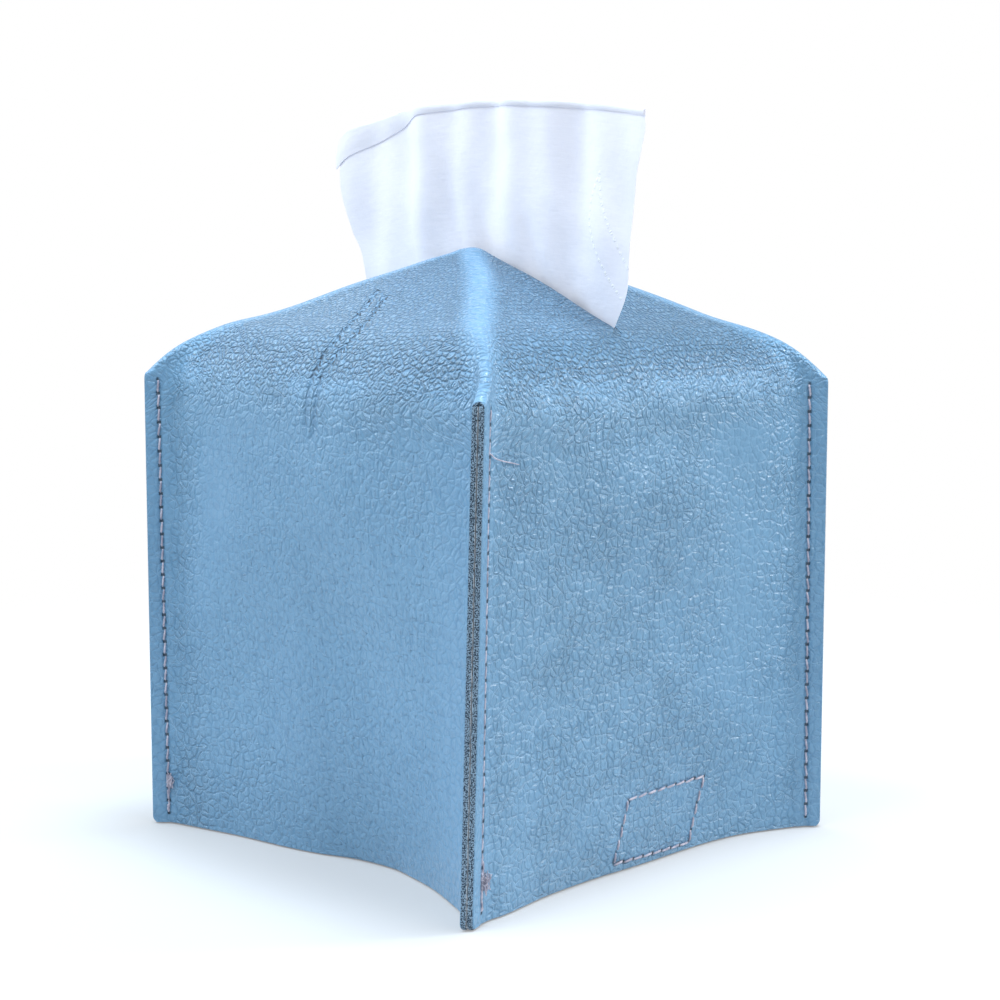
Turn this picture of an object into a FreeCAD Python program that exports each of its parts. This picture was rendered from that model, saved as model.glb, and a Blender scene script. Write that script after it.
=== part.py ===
import FreeCAD, Part
import math
import os
import Sketcher

# A soft leather cover for a cube tissue box.
# X runs across the cover, Y from the front wall (minus) to the back wall, Z up.
# The cover stands on Z = 0 and the middle of its foot is the origin. Sizes are in millimetres.

SIZES = {
    # leather shell
    "cover_width": 116.0,
    "wall_height": 109.0,
    "crown_height": 148.9,
    "shoulder_radius": 24.0,
    "crown_radius": 12.0,
    "leather_thick": 1.4,
    # how far each wall sinks in at the middle of its bottom edge
    "bow_front": 6.0,
    "bow_left": 13.0,
    "bow_back": 6.0,
    "bow_right": 8.0,
    # sewn corner flanges
    "flange_depth": 4.8,
    "flange_corner": 1.6,
    "seam_top": 116.4,
    "crest_bulge": 2.0,
    "ply_gap": 0.3,
    # slot in the crown
    "slot_length": 98.0,
    "slot_width": 9.0,
    # thread
    "thread_width": 0.7,
    "thread_height": 0.35,
    "stitch_pitch": 3.5,
    "seam_inset": 4.6,
    "seam_end": 3.0,
    # belt across the open bottom
    "belt_width": 32.0,
    "belt_offset": 7.0,
    "belt_thick": 1.4,
    "belt_corner": 6.0,
    "belt_overlap": 30.0,
    "tab_length": 46.0,
    "anchor_height": 18.5,
    "anchor_stitch_inset": 1.6,
    "floor_gap": 0.7,
    "hinge_gap": 0.3,
    "seat_gap": 0.05,
    # fastening patches
    "patch_margin": 3.0,
    "patch_thick": 1.2,
    "patch_gap": 1.1,
    "patch_stitch_inset": 1.8,
    # tissue
    "tissue_thick": 0.6,
    "tissue_foot": 112.0,
    "tissue_waist": 130.0,
    "tissue_top": 186.0,
    "tissue_crown": 4.5,
    "tissue_foot_half": 33.0,
    "tissue_waist_half": 44.5,
    "tissue_top_half": 55.5,
    "tissue_wave": 3.4,
    "tissue_side_wave": 1.8,
}

doc = FreeCAD.newDocument("tissue_box_cover")
sheet = doc.addObject("Spreadsheet::Sheet", "Sizes")
for row, (alias, number) in enumerate(SIZES.items(), start=1):
    sheet.set("A%d" % row, alias)
    sheet.set("B%d" % row, repr(number))
    sheet.setAlias("B%d" % row, alias)
doc.recompute()

# Lengths that several pieces share, as expressions of the sheet.
HALF = "(Sizes.cover_width / 2)"
CORNER = "(Sizes.cover_width / sqrt(2))"
TIP = "(%s + Sizes.flange_depth)" % CORNER
FLANGE_HALF = "(Sizes.leather_thick + Sizes.ply_gap / 2)"
LEFT_OVER = "(%s - Sizes.shoulder_radius)" % HALF
DROP = "(Sizes.wall_height - Sizes.crown_height + Sizes.crown_radius)"
RAFTER = "(asin((Sizes.crown_radius - Sizes.shoulder_radius) / sqrt(%s^2 + %s^2)) - atan2(%s; %s))" % (
    LEFT_OVER, DROP, DROP, LEFT_OVER)
RIDGE = "(sqrt(2) * (%s + Sizes.shoulder_radius * sin(%s)))" % (LEFT_OVER, RAFTER)
RIDGE_TOP = "(Sizes.wall_height + Sizes.shoulder_radius * cos(%s))" % RAFTER
ANCHOR_INSET = "(Sizes.leather_thick + Sizes.seat_gap)"
STRAP_AXIS = "(Sizes.floor_gap + Sizes.belt_thick / 2)"
TAB_AXIS = "(%s + Sizes.belt_thick + 2 * Sizes.patch_thick + Sizes.patch_gap)" % STRAP_AXIS
HINGE_INSET = "(%s + Sizes.belt_thick / 2 + Sizes.hinge_gap)" % ANCHOR_INSET
HINGE_FRONT = "(%s - Sizes.bow_front - %s)" % (HALF, HINGE_INSET)
HINGE_BACK = "(%s - Sizes.bow_back - %s)" % (HALF, HINGE_INSET)
STRAP_END = "(%s - Sizes.tab_length + Sizes.belt_overlap)" % HINGE_BACK
TAB_END = "(%s - Sizes.tab_length)" % HINGE_BACK
PATCH_LENGTH = "(Sizes.belt_overlap - Sizes.patch_margin)"
PATCH_WIDTH = "(Sizes.belt_width - 2 * Sizes.patch_margin)"
PATCH_MIDDLE = "((%s + %s) / 2)" % (STRAP_END, TAB_END)
STRAP_TOP = "(%s + Sizes.belt_thick / 2)" % STRAP_AXIS
TAB_BOTTOM = "(%s - Sizes.belt_thick / 2)" % TAB_AXIS

CORNERS = {"front_left": 225.0, "front_right": 315.0, "back_right": 45.0, "back_left": 135.0}


def num(text):
    """Number that an expression of the sheet gives."""
    result = sheet.evalExpression(text)
    return float(getattr(result, "Value", result))


def add(kind, name, **values):
    thing = doc.addObject(kind, name)
    for key, value in values.items():
        setattr(thing, key, value)
    return thing


def pin(sketch, points, pinned, geometry, end, name):
    """Holds one end of an edge at a named point."""
    if name in pinned:
        sketch.addConstraint(Sketcher.Constraint("Coincident", geometry, end, *pinned[name]))
        return
    pinned[name] = (geometry, end)
    for axis, line, text in zip("XY", (-2, -1), points[name]):
        if text == "0":
            sketch.addConstraint(Sketcher.Constraint("PointOnObject", geometry, end, line))
            continue
        index = sketch.addConstraint(
            Sketcher.Constraint("Distance" + axis, -1, 1, geometry, end, num(text)))
        label = axis.lower() + "_" + name
        sketch.renameConstraint(index, label)
        sketch.setExpression("Constraints." + label, text)


def outline(sketch, points, edges):
    """Draws closed outlines: an edge of two names is a line, an edge of three is an arc."""
    pinned = {}
    for edge in edges:
        ends = [FreeCAD.Vector(num(points[name][0]), num(points[name][1]), 0) for name in edge]
        curve = Part.LineSegment(*ends) if len(edge) == 2 else Part.Arc(*ends)
        geometry = sketch.addGeometry(curve)
        away = (sketch.getPoint(geometry, 1) - ends[0]).Length
        back = (sketch.getPoint(geometry, 2) - ends[0]).Length
        first, last = (1, 2) if away < back else (2, 1)
        pin(sketch, points, pinned, geometry, first, edge[0])
        pin(sketch, points, pinned, geometry, last, edge[-1])
        if len(edge) == 3:
            spot = sketch.addGeometry(Part.Point(ends[1]), True)
            pin(sketch, points, pinned, spot, 1, edge[1])
            sketch.addConstraint(Sketcher.Constraint("PointOnObject", spot, 1, geometry))


def polygon(sketch, points):
    names = list(points)
    outline(sketch, points, list(zip(names, names[1:] + names[:1])))


def upright_sketch(name, angle):
    """Sketch on the upright plane through Z whose first axis points along the angle."""
    turn = FreeCAD.Rotation(FreeCAD.Vector(0, 0, 1), angle)
    tip_up = FreeCAD.Rotation(FreeCAD.Vector(1, 0, 0), 90)
    sketch = doc.addObject("Sketcher::SketchObject", name)
    sketch.Placement = FreeCAD.Placement(FreeCAD.Vector(), turn * tip_up)
    return sketch


def extrude(name, sketch, length, both_ways=True):
    solid = add("Part::Extrusion", name, Base=sketch, DirMode="Normal", Solid=True, Symmetric=both_ways)
    solid.setExpression("LengthFwd", length)
    return solid


# Walls: the plan is bowed in at the foot and square at the spring of the shoulder.

def wall_plan(name, inset, bowed):
    reach = "(%s - %s)" % (HALF, inset)
    points = {
        "front_left": ("-" + reach, "-" + reach),
        "front": ("0", "-(%s - Sizes.bow_front)" % reach),
        "front_right": (reach, "-" + reach),
        "right": ("%s - Sizes.bow_right" % reach, "0"),
        "back_right": (reach, reach),
        "back": ("0", "%s - Sizes.bow_back" % reach),
        "back_left": ("-" + reach, reach),
        "left": ("-(%s - Sizes.bow_left)" % reach, "0"),
    }
    ring = list(points) + ["front_left"]
    edges = [tuple(ring[i:i + 3]) for i in range(0, 8, 2)]
    if not bowed:
        edges = [(edge[0], edge[2]) for edge in edges]
    sketch = doc.addObject("Sketcher::SketchObject", name)
    outline(sketch, points, edges)
    if not bowed:
        sketch.setExpression("Placement.Base.z", "Sizes.wall_height")
    return sketch


def walls(name, inset):
    """Solid inside the four walls, inset from their outer faces."""
    foot = wall_plan(name + "_foot", inset, True)
    head = wall_plan(name + "_head", inset, False)
    return add("Part::Loft", name, Sections=[foot, head], Solid=True, Ruled=True)


# Roof: two crossing arches; what they share is a vault with four ridges.

def arch(name, inset, angle):
    reach = "(%s - %s)" % (HALF, inset)
    shoulder = "(Sizes.shoulder_radius - %s)" % inset
    crown = "(Sizes.crown_radius - %s)" % inset
    spring = "Sizes.wall_height"
    shoulder_x = "(%s - %s)" % (reach, shoulder)
    crown_z = "(Sizes.crown_height - Sizes.crown_radius)"
    lean = math.radians(num(RAFTER))
    quarter = math.pi / 2
    sketch = upright_sketch(name, angle)
    up = FreeCAD.Vector(0, 0, 1)

    def arc(x, z, radius, start, stop):
        circle = Part.Circle(FreeCAD.Vector(x, z, 0), up, radius)
        return sketch.addGeometry(Part.ArcOfCircle(circle, start, stop))

    def line(first, first_end, last, last_end):
        ends = (sketch.getPoint(first, first_end), sketch.getPoint(last, last_end))
        return sketch.addGeometry(Part.LineSegment(*ends))

    def bind(kind, label, text, *where):
        index = sketch.addConstraint(Sketcher.Constraint(kind, *where, num(text)))
        sketch.renameConstraint(index, label)
        sketch.setExpression("Constraints." + label, text)

    right = arc(num(shoulder_x), num(spring), num(shoulder), 0.0, quarter - lean)
    top = arc(0.0, num(crown_z), num(crown), quarter - lean, quarter + lean)
    left = arc(-num(shoulder_x), num(spring), num(shoulder), quarter + lean, math.pi)
    right_rafter = line(right, 2, top, 1)
    left_rafter = line(top, 2, left, 1)
    base = line(left, 2, right, 1)
    for before, after in ((right, right_rafter), (right_rafter, top), (top, left_rafter), (left_rafter, left)):
        sketch.addConstraint(Sketcher.Constraint("Tangent", before, 2, after, 1))
    sketch.addConstraint(Sketcher.Constraint("Coincident", left, 2, base, 1))
    sketch.addConstraint(Sketcher.Constraint("Coincident", base, 2, right, 1))
    bind("DistanceX", "right_x", shoulder_x, -1, 1, right, 3)
    bind("DistanceY", "right_z", spring, -1, 1, right, 3)
    bind("DistanceX", "left_x", "-" + shoulder_x, -1, 1, left, 3)
    bind("DistanceY", "left_z", spring, -1, 1, left, 3)
    bind("Radius", "right_radius", shoulder, right)
    bind("Radius", "left_radius", shoulder, left)
    sketch.addConstraint(Sketcher.Constraint("PointOnObject", top, 3, -2))
    bind("DistanceY", "crown_z", crown_z, -1, 1, top, 3)
    bind("Radius", "crown_radius", crown, top)
    bind("DistanceY", "spring_right", spring, -1, 1, base, 2)
    bind("DistanceY", "spring_left", spring, -1, 1, base, 1)
    return extrude(name + "_barrel", sketch, "1.2 * Sizes.cover_width")


def vault(name, inset):
    along = arch(name + "_along", inset, 0.0)
    across = arch(name + "_across", inset, 90.0)
    return add("Part::MultiCommon", name, Shapes=[along, across])


# Corner flanges: two plies that run on as a crest until they fade into the ridge of the roof.

def flange(name, angle):
    half_x = "((%s + %s) / 2 + 0.5 * Sizes.crest_bulge)" % (TIP, RIDGE)
    half_z = "((Sizes.seam_top + %s) / 2 + 0.87 * Sizes.crest_bulge)" % RIDGE_TOP
    knee = "(1 - sqrt(0.5)) * Sizes.flange_corner"
    points = {
        "inside": (RIDGE, "0"),
        "toe": ("%s - Sizes.flange_corner" % TIP, "0"),
        "knee": ("%s - %s" % (TIP, knee), knee),
        "shin": (TIP, "Sizes.flange_corner"),
        "peak": (TIP, "Sizes.seam_top"),
        "crest": (half_x, half_z),
        "fade": (RIDGE, RIDGE_TOP),
    }
    edges = [("inside", "toe"), ("toe", "knee", "shin"), ("shin", "peak"), ("peak", "crest", "fade"),
             ("fade", "inside")]
    sketch = upright_sketch(name + "_side", angle)
    outline(sketch, points, edges)
    return extrude(name, sketch, "2 * " + FLANGE_HALF)


def ply_gap(name, angle):
    top = "Sizes.seam_top - Sizes.leather_thick"
    points = {
        "low_in": (RIDGE, "-Sizes.leather_thick"),
        "low_out": (TIP + " + Sizes.flange_depth", "-Sizes.leather_thick"),
        "high_out": (TIP + " + Sizes.flange_depth", top),
        "high_in": (RIDGE, top),
    }
    sketch = upright_sketch(name + "_side", angle)
    polygon(sketch, points)
    return extrude(name, sketch, "Sizes.ply_gap")


def crown_slot(name):
    points = {
        "front": ("0", "-Sizes.slot_length / 2"),
        "right": ("Sizes.slot_width / 2", "0"),
        "back": ("0", "Sizes.slot_length / 2"),
        "left": ("-Sizes.slot_width / 2", "0"),
    }
    sketch = doc.addObject("Sketcher::SketchObject", name + "_plan")
    outline(sketch, points, [("front", "right", "back"), ("back", "left", "front")])
    sketch.setExpression("Placement.Base.z", "Sizes.wall_height")
    return extrude(name, sketch, "Sizes.crown_height", both_ways=False)


outside = [walls("wall_block", "0"), vault("roof_block", "0")]
outside += [flange("flange_" + corner, angle) for corner, angle in CORNERS.items()]
hollow = [walls("wall_hollow", "Sizes.leather_thick"), vault("roof_hollow", "Sizes.leather_thick")]
hollow += [ply_gap("ply_gap_" + corner, angle) for corner, angle in CORNERS.items()]
hollow.append(crown_slot("crown_slot"))
leather_block = add("Part::MultiFuse", "leather_block", Shapes=outside)
leather_hollow = add("Part::MultiFuse", "leather_hollow", Shapes=hollow)
leather_cover = add("Part::Cut", "leather_cover", Base=leather_block, Tool=leather_hollow)


# Thread: every stitch is a bar on each face of the layers, with a leg through them at one end.

def plane_sketch(body, name, role, offset):
    plane = [item for item in body.Origin.OriginFeatures if item.Role == role][0]
    sketch = body.newObject("Sketcher::SketchObject", name)
    sketch.AttachmentSupport = (plane, [""])
    sketch.MapMode = "FlatFace"
    sketch.setExpression("AttachmentOffset.Base.z", offset)
    return sketch


def pad(body, name, sketch, length):
    solid = body.newObject("PartDesign::Pad", name)
    solid.Profile = sketch
    solid.SideType = "Symmetric"
    solid.setExpression("Length", length)
    body.Tip = solid
    return solid


def stitch_row(body, name, role, offset, start, length, layers, swap):
    """Row of stitches along the first axis of a plane, or along its second axis if swapped."""
    count = max(2, int(math.floor(num(length) / num("Sizes.stitch_pitch"))))
    step = "(%s / %d)" % (length, count)
    face = "(%s / 2)" % layers
    proud = "(%s + Sizes.thread_height)" % face
    leg = "Sizes.thread_width / 2"
    shape = {
        "in_low": ("%s - %s" % (start, leg), "-" + proud),
        "fall_low": ("%s + 0.78 * %s" % (start, step), "-" + proud),
        "out_low": ("%s + %s" % (start, step), "-" + face),
        "leg_low": ("%s + %s" % (start, leg), "-" + face),
        "leg_high": ("%s + %s" % (start, leg), face),
        "out_high": ("%s + %s" % (start, step), face),
        "fall_high": ("%s + 0.78 * %s" % (start, step), proud),
        "in_high": ("%s - %s" % (start, leg), proud),
    }
    if swap:
        shape = {key: (across, along) for key, (along, across) in shape.items()}
    sketch = plane_sketch(body, name + "_profile", role, offset)
    polygon(sketch, shape)
    stitch = pad(body, name + "_stitch", sketch, "Sizes.thread_width")
    row = body.newObject("PartDesign::LinearPattern", name + "_row")
    row.Originals = [stitch]
    row.Direction = (sketch, ["V_Axis" if swap else "H_Axis"])
    row.Mode = "Spacing"
    row.Occurrences = count
    row.setExpression("Offset", step)
    body.Tip = row
    return row


def seam_thread(name, angle):
    body = add("PartDesign::Body", name)
    length = "(Sizes.seam_top - Sizes.leather_thick - 2 * Sizes.seam_end)"
    stitch_row(body, name, "YZ_Plane", "%s - Sizes.seam_inset" % TIP, "Sizes.seam_end", length,
               "2 * " + FLANGE_HALF, True)
    body.Placement = FreeCAD.Placement(
        FreeCAD.Vector(), FreeCAD.Rotation(FreeCAD.Vector(0, 0, 1), angle))
    return body


def box_stitch(name, width, height, layers):
    """Rectangle of stitches in the plan of a body, through layers centred on that plan."""
    body = add("PartDesign::Body", name)
    for side, sign in (("low", ""), ("high", "-")):
        stitch_row(body, name + "_" + side, "XZ_Plane", "%s(%s) / 2" % (sign, height),
                   "-(%s) / 2" % width, "(%s)" % width, layers, False)
    for side, sign in (("left", "-"), ("right", "")):
        stitch_row(body, name + "_" + side, "YZ_Plane", "%s(%s) / 2" % (sign, width),
                   "-(%s) / 2" % height, "(%s)" % height, layers, False)
    return body


def bind_place(body, x, y, z):
    for axis, text in zip("xyz", (x, y, z)):
        body.setExpression("Placement.Base." + axis, text)


seams = [seam_thread("seam_thread_" + corner, angle) for corner, angle in CORNERS.items()]


# Belt ends: strips that lie against the inner faces of the front and back walls.

anchor_block = walls("anchor_block", ANCHOR_INSET)
anchor_hollow = walls("anchor_hollow", "(%s + Sizes.belt_thick)" % ANCHOR_INSET)
anchor_liner = add("Part::Cut", "anchor_liner", Base=anchor_block, Tool=anchor_hollow)


def belt_anchor(name, axis_height, front):
    window = add("Part::Box", name + "_window")
    window.setExpression("Length", "Sizes.belt_width")
    window.setExpression("Width", HALF)
    window.setExpression("Height", "Sizes.anchor_height")
    low = "%s + Sizes.belt_thick / 2 + Sizes.hinge_gap" % axis_height
    bind_place(window, "Sizes.belt_offset - Sizes.belt_width / 2", "-" + HALF if front else "0", low)
    return add("Part::MultiCommon", name, Shapes=[anchor_liner, window])


def anchor_stitch(name, axis_height, bow, front):
    """Box of stitches square to the wall where the belt is sewn to it."""
    width = "(Sizes.belt_width - 2 * Sizes.anchor_stitch_inset)"
    height = "Sizes.anchor_height - 2 * Sizes.anchor_stitch_inset"
    middle = "(%s + Sizes.belt_thick / 2 + Sizes.hinge_gap + Sizes.anchor_height / 2)" % axis_height
    sunk = "(%s * (1 - %s / Sizes.wall_height))" % (bow, middle)
    sink = "(%s * (1 - (Sizes.belt_offset / %s)^2))" % (sunk, HALF)
    rise = "(%s * (%s / Sizes.cover_width)^2)" % (sunk, width)
    layers = "(%s + Sizes.belt_thick + %s)" % (ANCHOR_INSET, rise)
    body = box_stitch(name, width, height, layers)
    depth = "(%s - %s + %s - %s / 2)" % (HALF, sink, rise, layers)
    lean = math.degrees(math.atan2(num(bow), num("Sizes.wall_height")))
    skew = math.degrees(math.atan2(2 * num(sunk) * num("Sizes.belt_offset"), num(HALF) ** 2))
    turn = FreeCAD.Rotation(FreeCAD.Vector(0, 0, 1), -skew if front else 180 + skew)
    tilt = FreeCAD.Rotation(FreeCAD.Vector(1, 0, 0), 90 + lean)
    body.Placement = FreeCAD.Placement(FreeCAD.Vector(), turn * tilt)
    bind_place(body, "Sizes.belt_offset", "-" + depth if front else depth, middle)
    return body


anchors = [belt_anchor("belt_anchor_front", STRAP_AXIS, True),
           belt_anchor("belt_anchor_back", TAB_AXIS, False)]
anchor_stitches = [anchor_stitch("anchor_stitch_front", STRAP_AXIS, "Sizes.bow_front", True),
                   anchor_stitch("anchor_stitch_back", TAB_AXIS, "Sizes.bow_back", False)]


# Belt halves: flat strips with a round root on the fold line and rounded corners at the free end.

def belt_half(name, root, end, height):
    body = add("PartDesign::Body", name)
    sketch = plane_sketch(body, name + "_profile", "YZ_Plane", "0")
    back = "-" if num(end) > num(root) else ""
    half = "Sizes.belt_thick / 2"
    points = {
        "root_low": (root, "-" + half),
        "end_low": (end, "-" + half),
        "end_high": (end, half),
        "root_high": (root, half),
        "root_tip": ("%s %s %s" % (root, back or "+", half), "0"),
    }
    edges = [("root_low", "end_low"), ("end_low", "end_high"), ("end_high", "root_high"),
             ("root_high", "root_tip", "root_low")]
    outline(sketch, points, edges)
    strip = pad(body, name + "_strip", sketch, "Sizes.belt_width")
    doc.recompute()
    corners = [
        "Edge%d" % (index + 1) for index, edge in enumerate(strip.Shape.Edges)
        if all(abs(vertex.Y - num(end)) < 0.01 for vertex in edge.Vertexes)
        and abs(edge.Vertexes[0].Z - edge.Vertexes[-1].Z) > 0.1]
    rounding = body.newObject("PartDesign::Fillet", name + "_corners")
    rounding.Base = (strip, corners)
    rounding.setExpression("Radius", "Sizes.belt_corner")
    body.Tip = rounding
    bind_place(body, "Sizes.belt_offset", "0", height)
    return body


def patch(name, height):
    body = add("PartDesign::Body", name)
    sketch = plane_sketch(body, name + "_plan", "XY_Plane", "0")
    polygon(sketch, {
        "front_left": ("-%s / 2" % PATCH_WIDTH, "-%s / 2" % PATCH_LENGTH),
        "front_right": ("%s / 2" % PATCH_WIDTH, "-%s / 2" % PATCH_LENGTH),
        "back_right": ("%s / 2" % PATCH_WIDTH, "%s / 2" % PATCH_LENGTH),
        "back_left": ("-%s / 2" % PATCH_WIDTH, "%s / 2" % PATCH_LENGTH),
    })
    pad(body, name + "_pile", sketch, "Sizes.patch_thick")
    bind_place(body, "Sizes.belt_offset", PATCH_MIDDLE, height)
    return body


def patch_stitch(name, height):
    inset = "2 * Sizes.patch_stitch_inset"
    body = box_stitch(name, "%s - %s" % (PATCH_WIDTH, inset), "%s - %s" % (PATCH_LENGTH, inset),
                      "(Sizes.belt_thick + Sizes.patch_thick)")
    bind_place(body, "Sizes.belt_offset", PATCH_MIDDLE, height)
    return body


belt_strap = belt_half("belt_strap", "-" + HINGE_FRONT, STRAP_END, STRAP_AXIS)
belt_tab = belt_half("belt_tab", HINGE_BACK, TAB_END, TAB_AXIS)
loop_patch = patch("loop_patch", "%s + Sizes.patch_thick / 2" % STRAP_TOP)
hook_patch = patch("hook_patch", "%s - Sizes.patch_thick / 2" % TAB_BOTTOM)
loop_stitch = patch_stitch("loop_patch_stitch", "%s + Sizes.patch_thick / 2" % STRAP_AXIS)
hook_stitch = patch_stitch("hook_patch_stitch", "%s - Sizes.patch_thick / 2" % TAB_AXIS)


# Tissue: a thin sheet with upright folds, cut narrow in the slot and wider above it.

def tissue_folds(name):
    side = "Sizes.tissue_thick / 2"
    third = "Sizes.tissue_waist_half / 3"
    edge = "(Sizes.tissue_top_half + Sizes.tissue_thick)"
    rim = "(Sizes.tissue_waist_half + %s) / 2" % edge
    stops = [("0", edge), ("0.5 * Sizes.tissue_side_wave", rim), ("0", "3 * " + third),
             ("-Sizes.tissue_side_wave", "2 * " + third), ("0", third)]
    middle = [("Sizes.tissue_wave", "0")]
    line = [(x, "-" + y) for x, y in stops] + middle + stops[::-1]
    points = {}
    for face, sign in (("right", "+"), ("left", "-")):
        for step, (x, y) in enumerate(line):
            points["%s_%d" % (face, step)] = ("%s %s %s" % (x, sign, side), y)
    last = len(line) - 1
    arcs = range(0, last, 2)
    edges = [("right_%d" % i, "right_%d" % (i + 1), "right_%d" % (i + 2)) for i in arcs]
    edges.append(("right_%d" % last, "left_%d" % last))
    edges += [("left_%d" % (last - i), "left_%d" % (last - i - 1), "left_%d" % (last - i - 2)) for i in arcs]
    edges.append(("left_0", "right_0"))
    sketch = doc.addObject("Sketcher::SketchObject", name + "_plan")
    outline(sketch, points, edges)
    sketch.setExpression("Placement.Base.z", "Sizes.tissue_foot")
    return extrude(name, sketch, "Sizes.tissue_top - Sizes.tissue_foot", both_ways=False)


def tissue_cut(name):
    shoulder = "Sizes.tissue_top - Sizes.tissue_crown"
    points = {
        "foot_front": ("-Sizes.tissue_foot_half", "Sizes.tissue_foot"),
        "waist_front": ("-Sizes.tissue_waist_half", "Sizes.tissue_waist"),
        "top_front": ("-Sizes.tissue_top_half", shoulder),
        "top": ("0", "Sizes.tissue_top"),
        "top_back": ("Sizes.tissue_top_half", shoulder),
        "waist_back": ("Sizes.tissue_waist_half", "Sizes.tissue_waist"),
        "foot_back": ("Sizes.tissue_foot_half", "Sizes.tissue_foot"),
    }
    edges = [("foot_front", "waist_front"), ("waist_front", "top_front"), ("top_front", "top", "top_back"),
             ("top_back", "waist_back"), ("waist_back", "foot_back"), ("foot_back", "foot_front")]
    sketch = upright_sketch(name + "_side", 90.0)
    outline(sketch, points, edges)
    return extrude(name, sketch, "Sizes.cover_width")


tissue_sheet = add("Part::MultiCommon", "tissue_sheet",
                   Shapes=[tissue_folds("tissue_folds"), tissue_cut("tissue_cut")])

pieces = [leather_cover] + seams + anchors + anchor_stitches
pieces += [belt_strap, loop_patch, loop_stitch, belt_tab, hook_patch, hook_stitch, tissue_sheet]

doc.recompute()
for thing in doc.Objects:
    if "Invalid" in thing.State or "Error" in thing.State:
        raise RuntimeError("%s does not build" % thing.Name)
os.makedirs("parts", exist_ok=True)
for piece in pieces:
    if piece.Shape.isNull() or not piece.Shape.isValid():
        raise RuntimeError("%s has no sound shape" % piece.Label)
    piece.Shape.exportStep("parts/%s.step" % piece.Label)
    box = piece.Shape.BoundBox
    print("%-26s solids %3d  volume %10.2f  x %8.2f %8.2f  y %8.2f %8.2f  z %8.2f %8.2f" % (
        piece.Label, len(piece.Shape.Solids), piece.Shape.Volume,
        box.XMin, box.XMax, box.YMin, box.YMax, box.ZMin, box.ZMax))
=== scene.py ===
"""Looks of a soft leather tissue box cover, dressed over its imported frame."""

import math

import bmesh
import bpy
import numpy as np
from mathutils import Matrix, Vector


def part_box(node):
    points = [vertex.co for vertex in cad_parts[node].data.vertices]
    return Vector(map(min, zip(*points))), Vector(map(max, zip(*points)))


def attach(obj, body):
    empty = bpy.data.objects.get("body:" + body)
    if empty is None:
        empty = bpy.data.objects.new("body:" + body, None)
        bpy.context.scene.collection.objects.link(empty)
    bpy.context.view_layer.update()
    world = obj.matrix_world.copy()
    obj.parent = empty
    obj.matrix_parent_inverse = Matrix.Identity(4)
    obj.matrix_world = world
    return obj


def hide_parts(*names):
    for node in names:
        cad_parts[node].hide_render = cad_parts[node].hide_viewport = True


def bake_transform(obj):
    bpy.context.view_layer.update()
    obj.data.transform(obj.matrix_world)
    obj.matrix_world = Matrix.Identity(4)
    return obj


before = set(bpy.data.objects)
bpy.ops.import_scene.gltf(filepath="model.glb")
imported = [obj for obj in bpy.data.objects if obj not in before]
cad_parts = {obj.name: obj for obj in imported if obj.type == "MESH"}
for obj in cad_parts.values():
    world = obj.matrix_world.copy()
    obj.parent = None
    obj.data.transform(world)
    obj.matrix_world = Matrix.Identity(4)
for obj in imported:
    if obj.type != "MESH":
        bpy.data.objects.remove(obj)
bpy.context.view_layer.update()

# Sizes of the leather shell, in millimetres
MM = 0.001
ROOT2 = math.sqrt(2.0)
HALF = 58.0
WALL = 109.0
CROWN = 148.9
SHOULDER_R = 24.0
CROWN_R = 12.0
ROOF_BULGE = 0.8
THICK = 1.36
FOOT_ROUND = 0.25

# The corner flange: both plies laid together along the diagonal
TIP = 86.8
SEAM_TOP = 116.4
PLY = 1.38
ROOT_SOFT = 1.6
LAP = 1.8
FLANGE_ROUND = 1.8
INNER_CLEAR = 0.01

# The fold above the seam, which sinks into the roof's ridge
FIN_CENTRE = (44.9, 75.94)
FIN_R = 58.0
FIN_MERGE = (129.0, 133.0)
RIDGE_PLY = 0.3
RIDGE_SOFT = 4.0
RIDGE_LAP = 4.0
RIDGE_ROUND = 0.4
CROWN_SOFT = 2.2
CROWN_SOFT_REACH = 7.0

# The slot in the crown
SLOT_HALF = 49.0
SLOT_GAPE = 4.2
LIP_SPREAD = 14.0
LIP_CURL = 0.5
CURL_WIDE = 4.0
SWELL_PAST = 10.0

# Unevenness of the walls and the roof: height and wavelength
WALL_WAVES = (0.75, 46.0)
ROOF_WAVES = (0.45, 38.0)

# Stitching
PITCH = 3.5
THREAD_R = 0.27
SEAM_FOOT = 2.6
SEAM_HEAD = 114.8
PINCH = 0.3
PINCH_WIDE = 0.8
SEAM_SLANT = (0.14, 0.05)
SEAM_RISE = (0.14, 0.04)
BOX_SLANT = (0.16, 0.05)
BOX_RISE = (0.12, 0.14)
FAR_OFF = 20.0

# Where an effect sets in, and the stretch over which it grows, with a minus where it fades
SEWN_BELOW = (SEAM_HEAD, -2.0)
WAVY_ALONG = (54.0, -22.0)
WAVY_BELOW = (124.0, -22.0)
LEAN_BELOW = (FIN_MERGE[0], -14.0)
SHIFT_PAST = (58.0, 22.0)
LIFT_PAST = (66.0, 16.0)
LIFT_ABOVE = (84.0, 32.0)
ROOF_ABOVE = (118.0, 12.0)
BIG_GRAIN_BELOW = (124.0, -14.0)
FOLDED_FROM = 104.0

# Mesh density of the shell
COLUMNS = 48
FLANGE_COLUMNS = 15
FLANGE_START = 79.0
FLANGE_FROM = (28.0, 24.0)
FOOT_BAND = 2.4
WALL_ROWS = 68
GRID_HALF = 50.0

PANELS = ("front", "right", "back", "left")
ACROSS = {"front": (1, 0), "right": (0, 1), "back": (-1, 0), "left": (0, -1)}
CORNER_RING = ("front_left", "front_right", "back_right", "back_left")
LEFT_END = dict(zip(PANELS, CORNER_RING))
RIGHT_END = dict(zip(PANELS, CORNER_RING[1:] + CORNER_RING[:1]))

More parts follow.
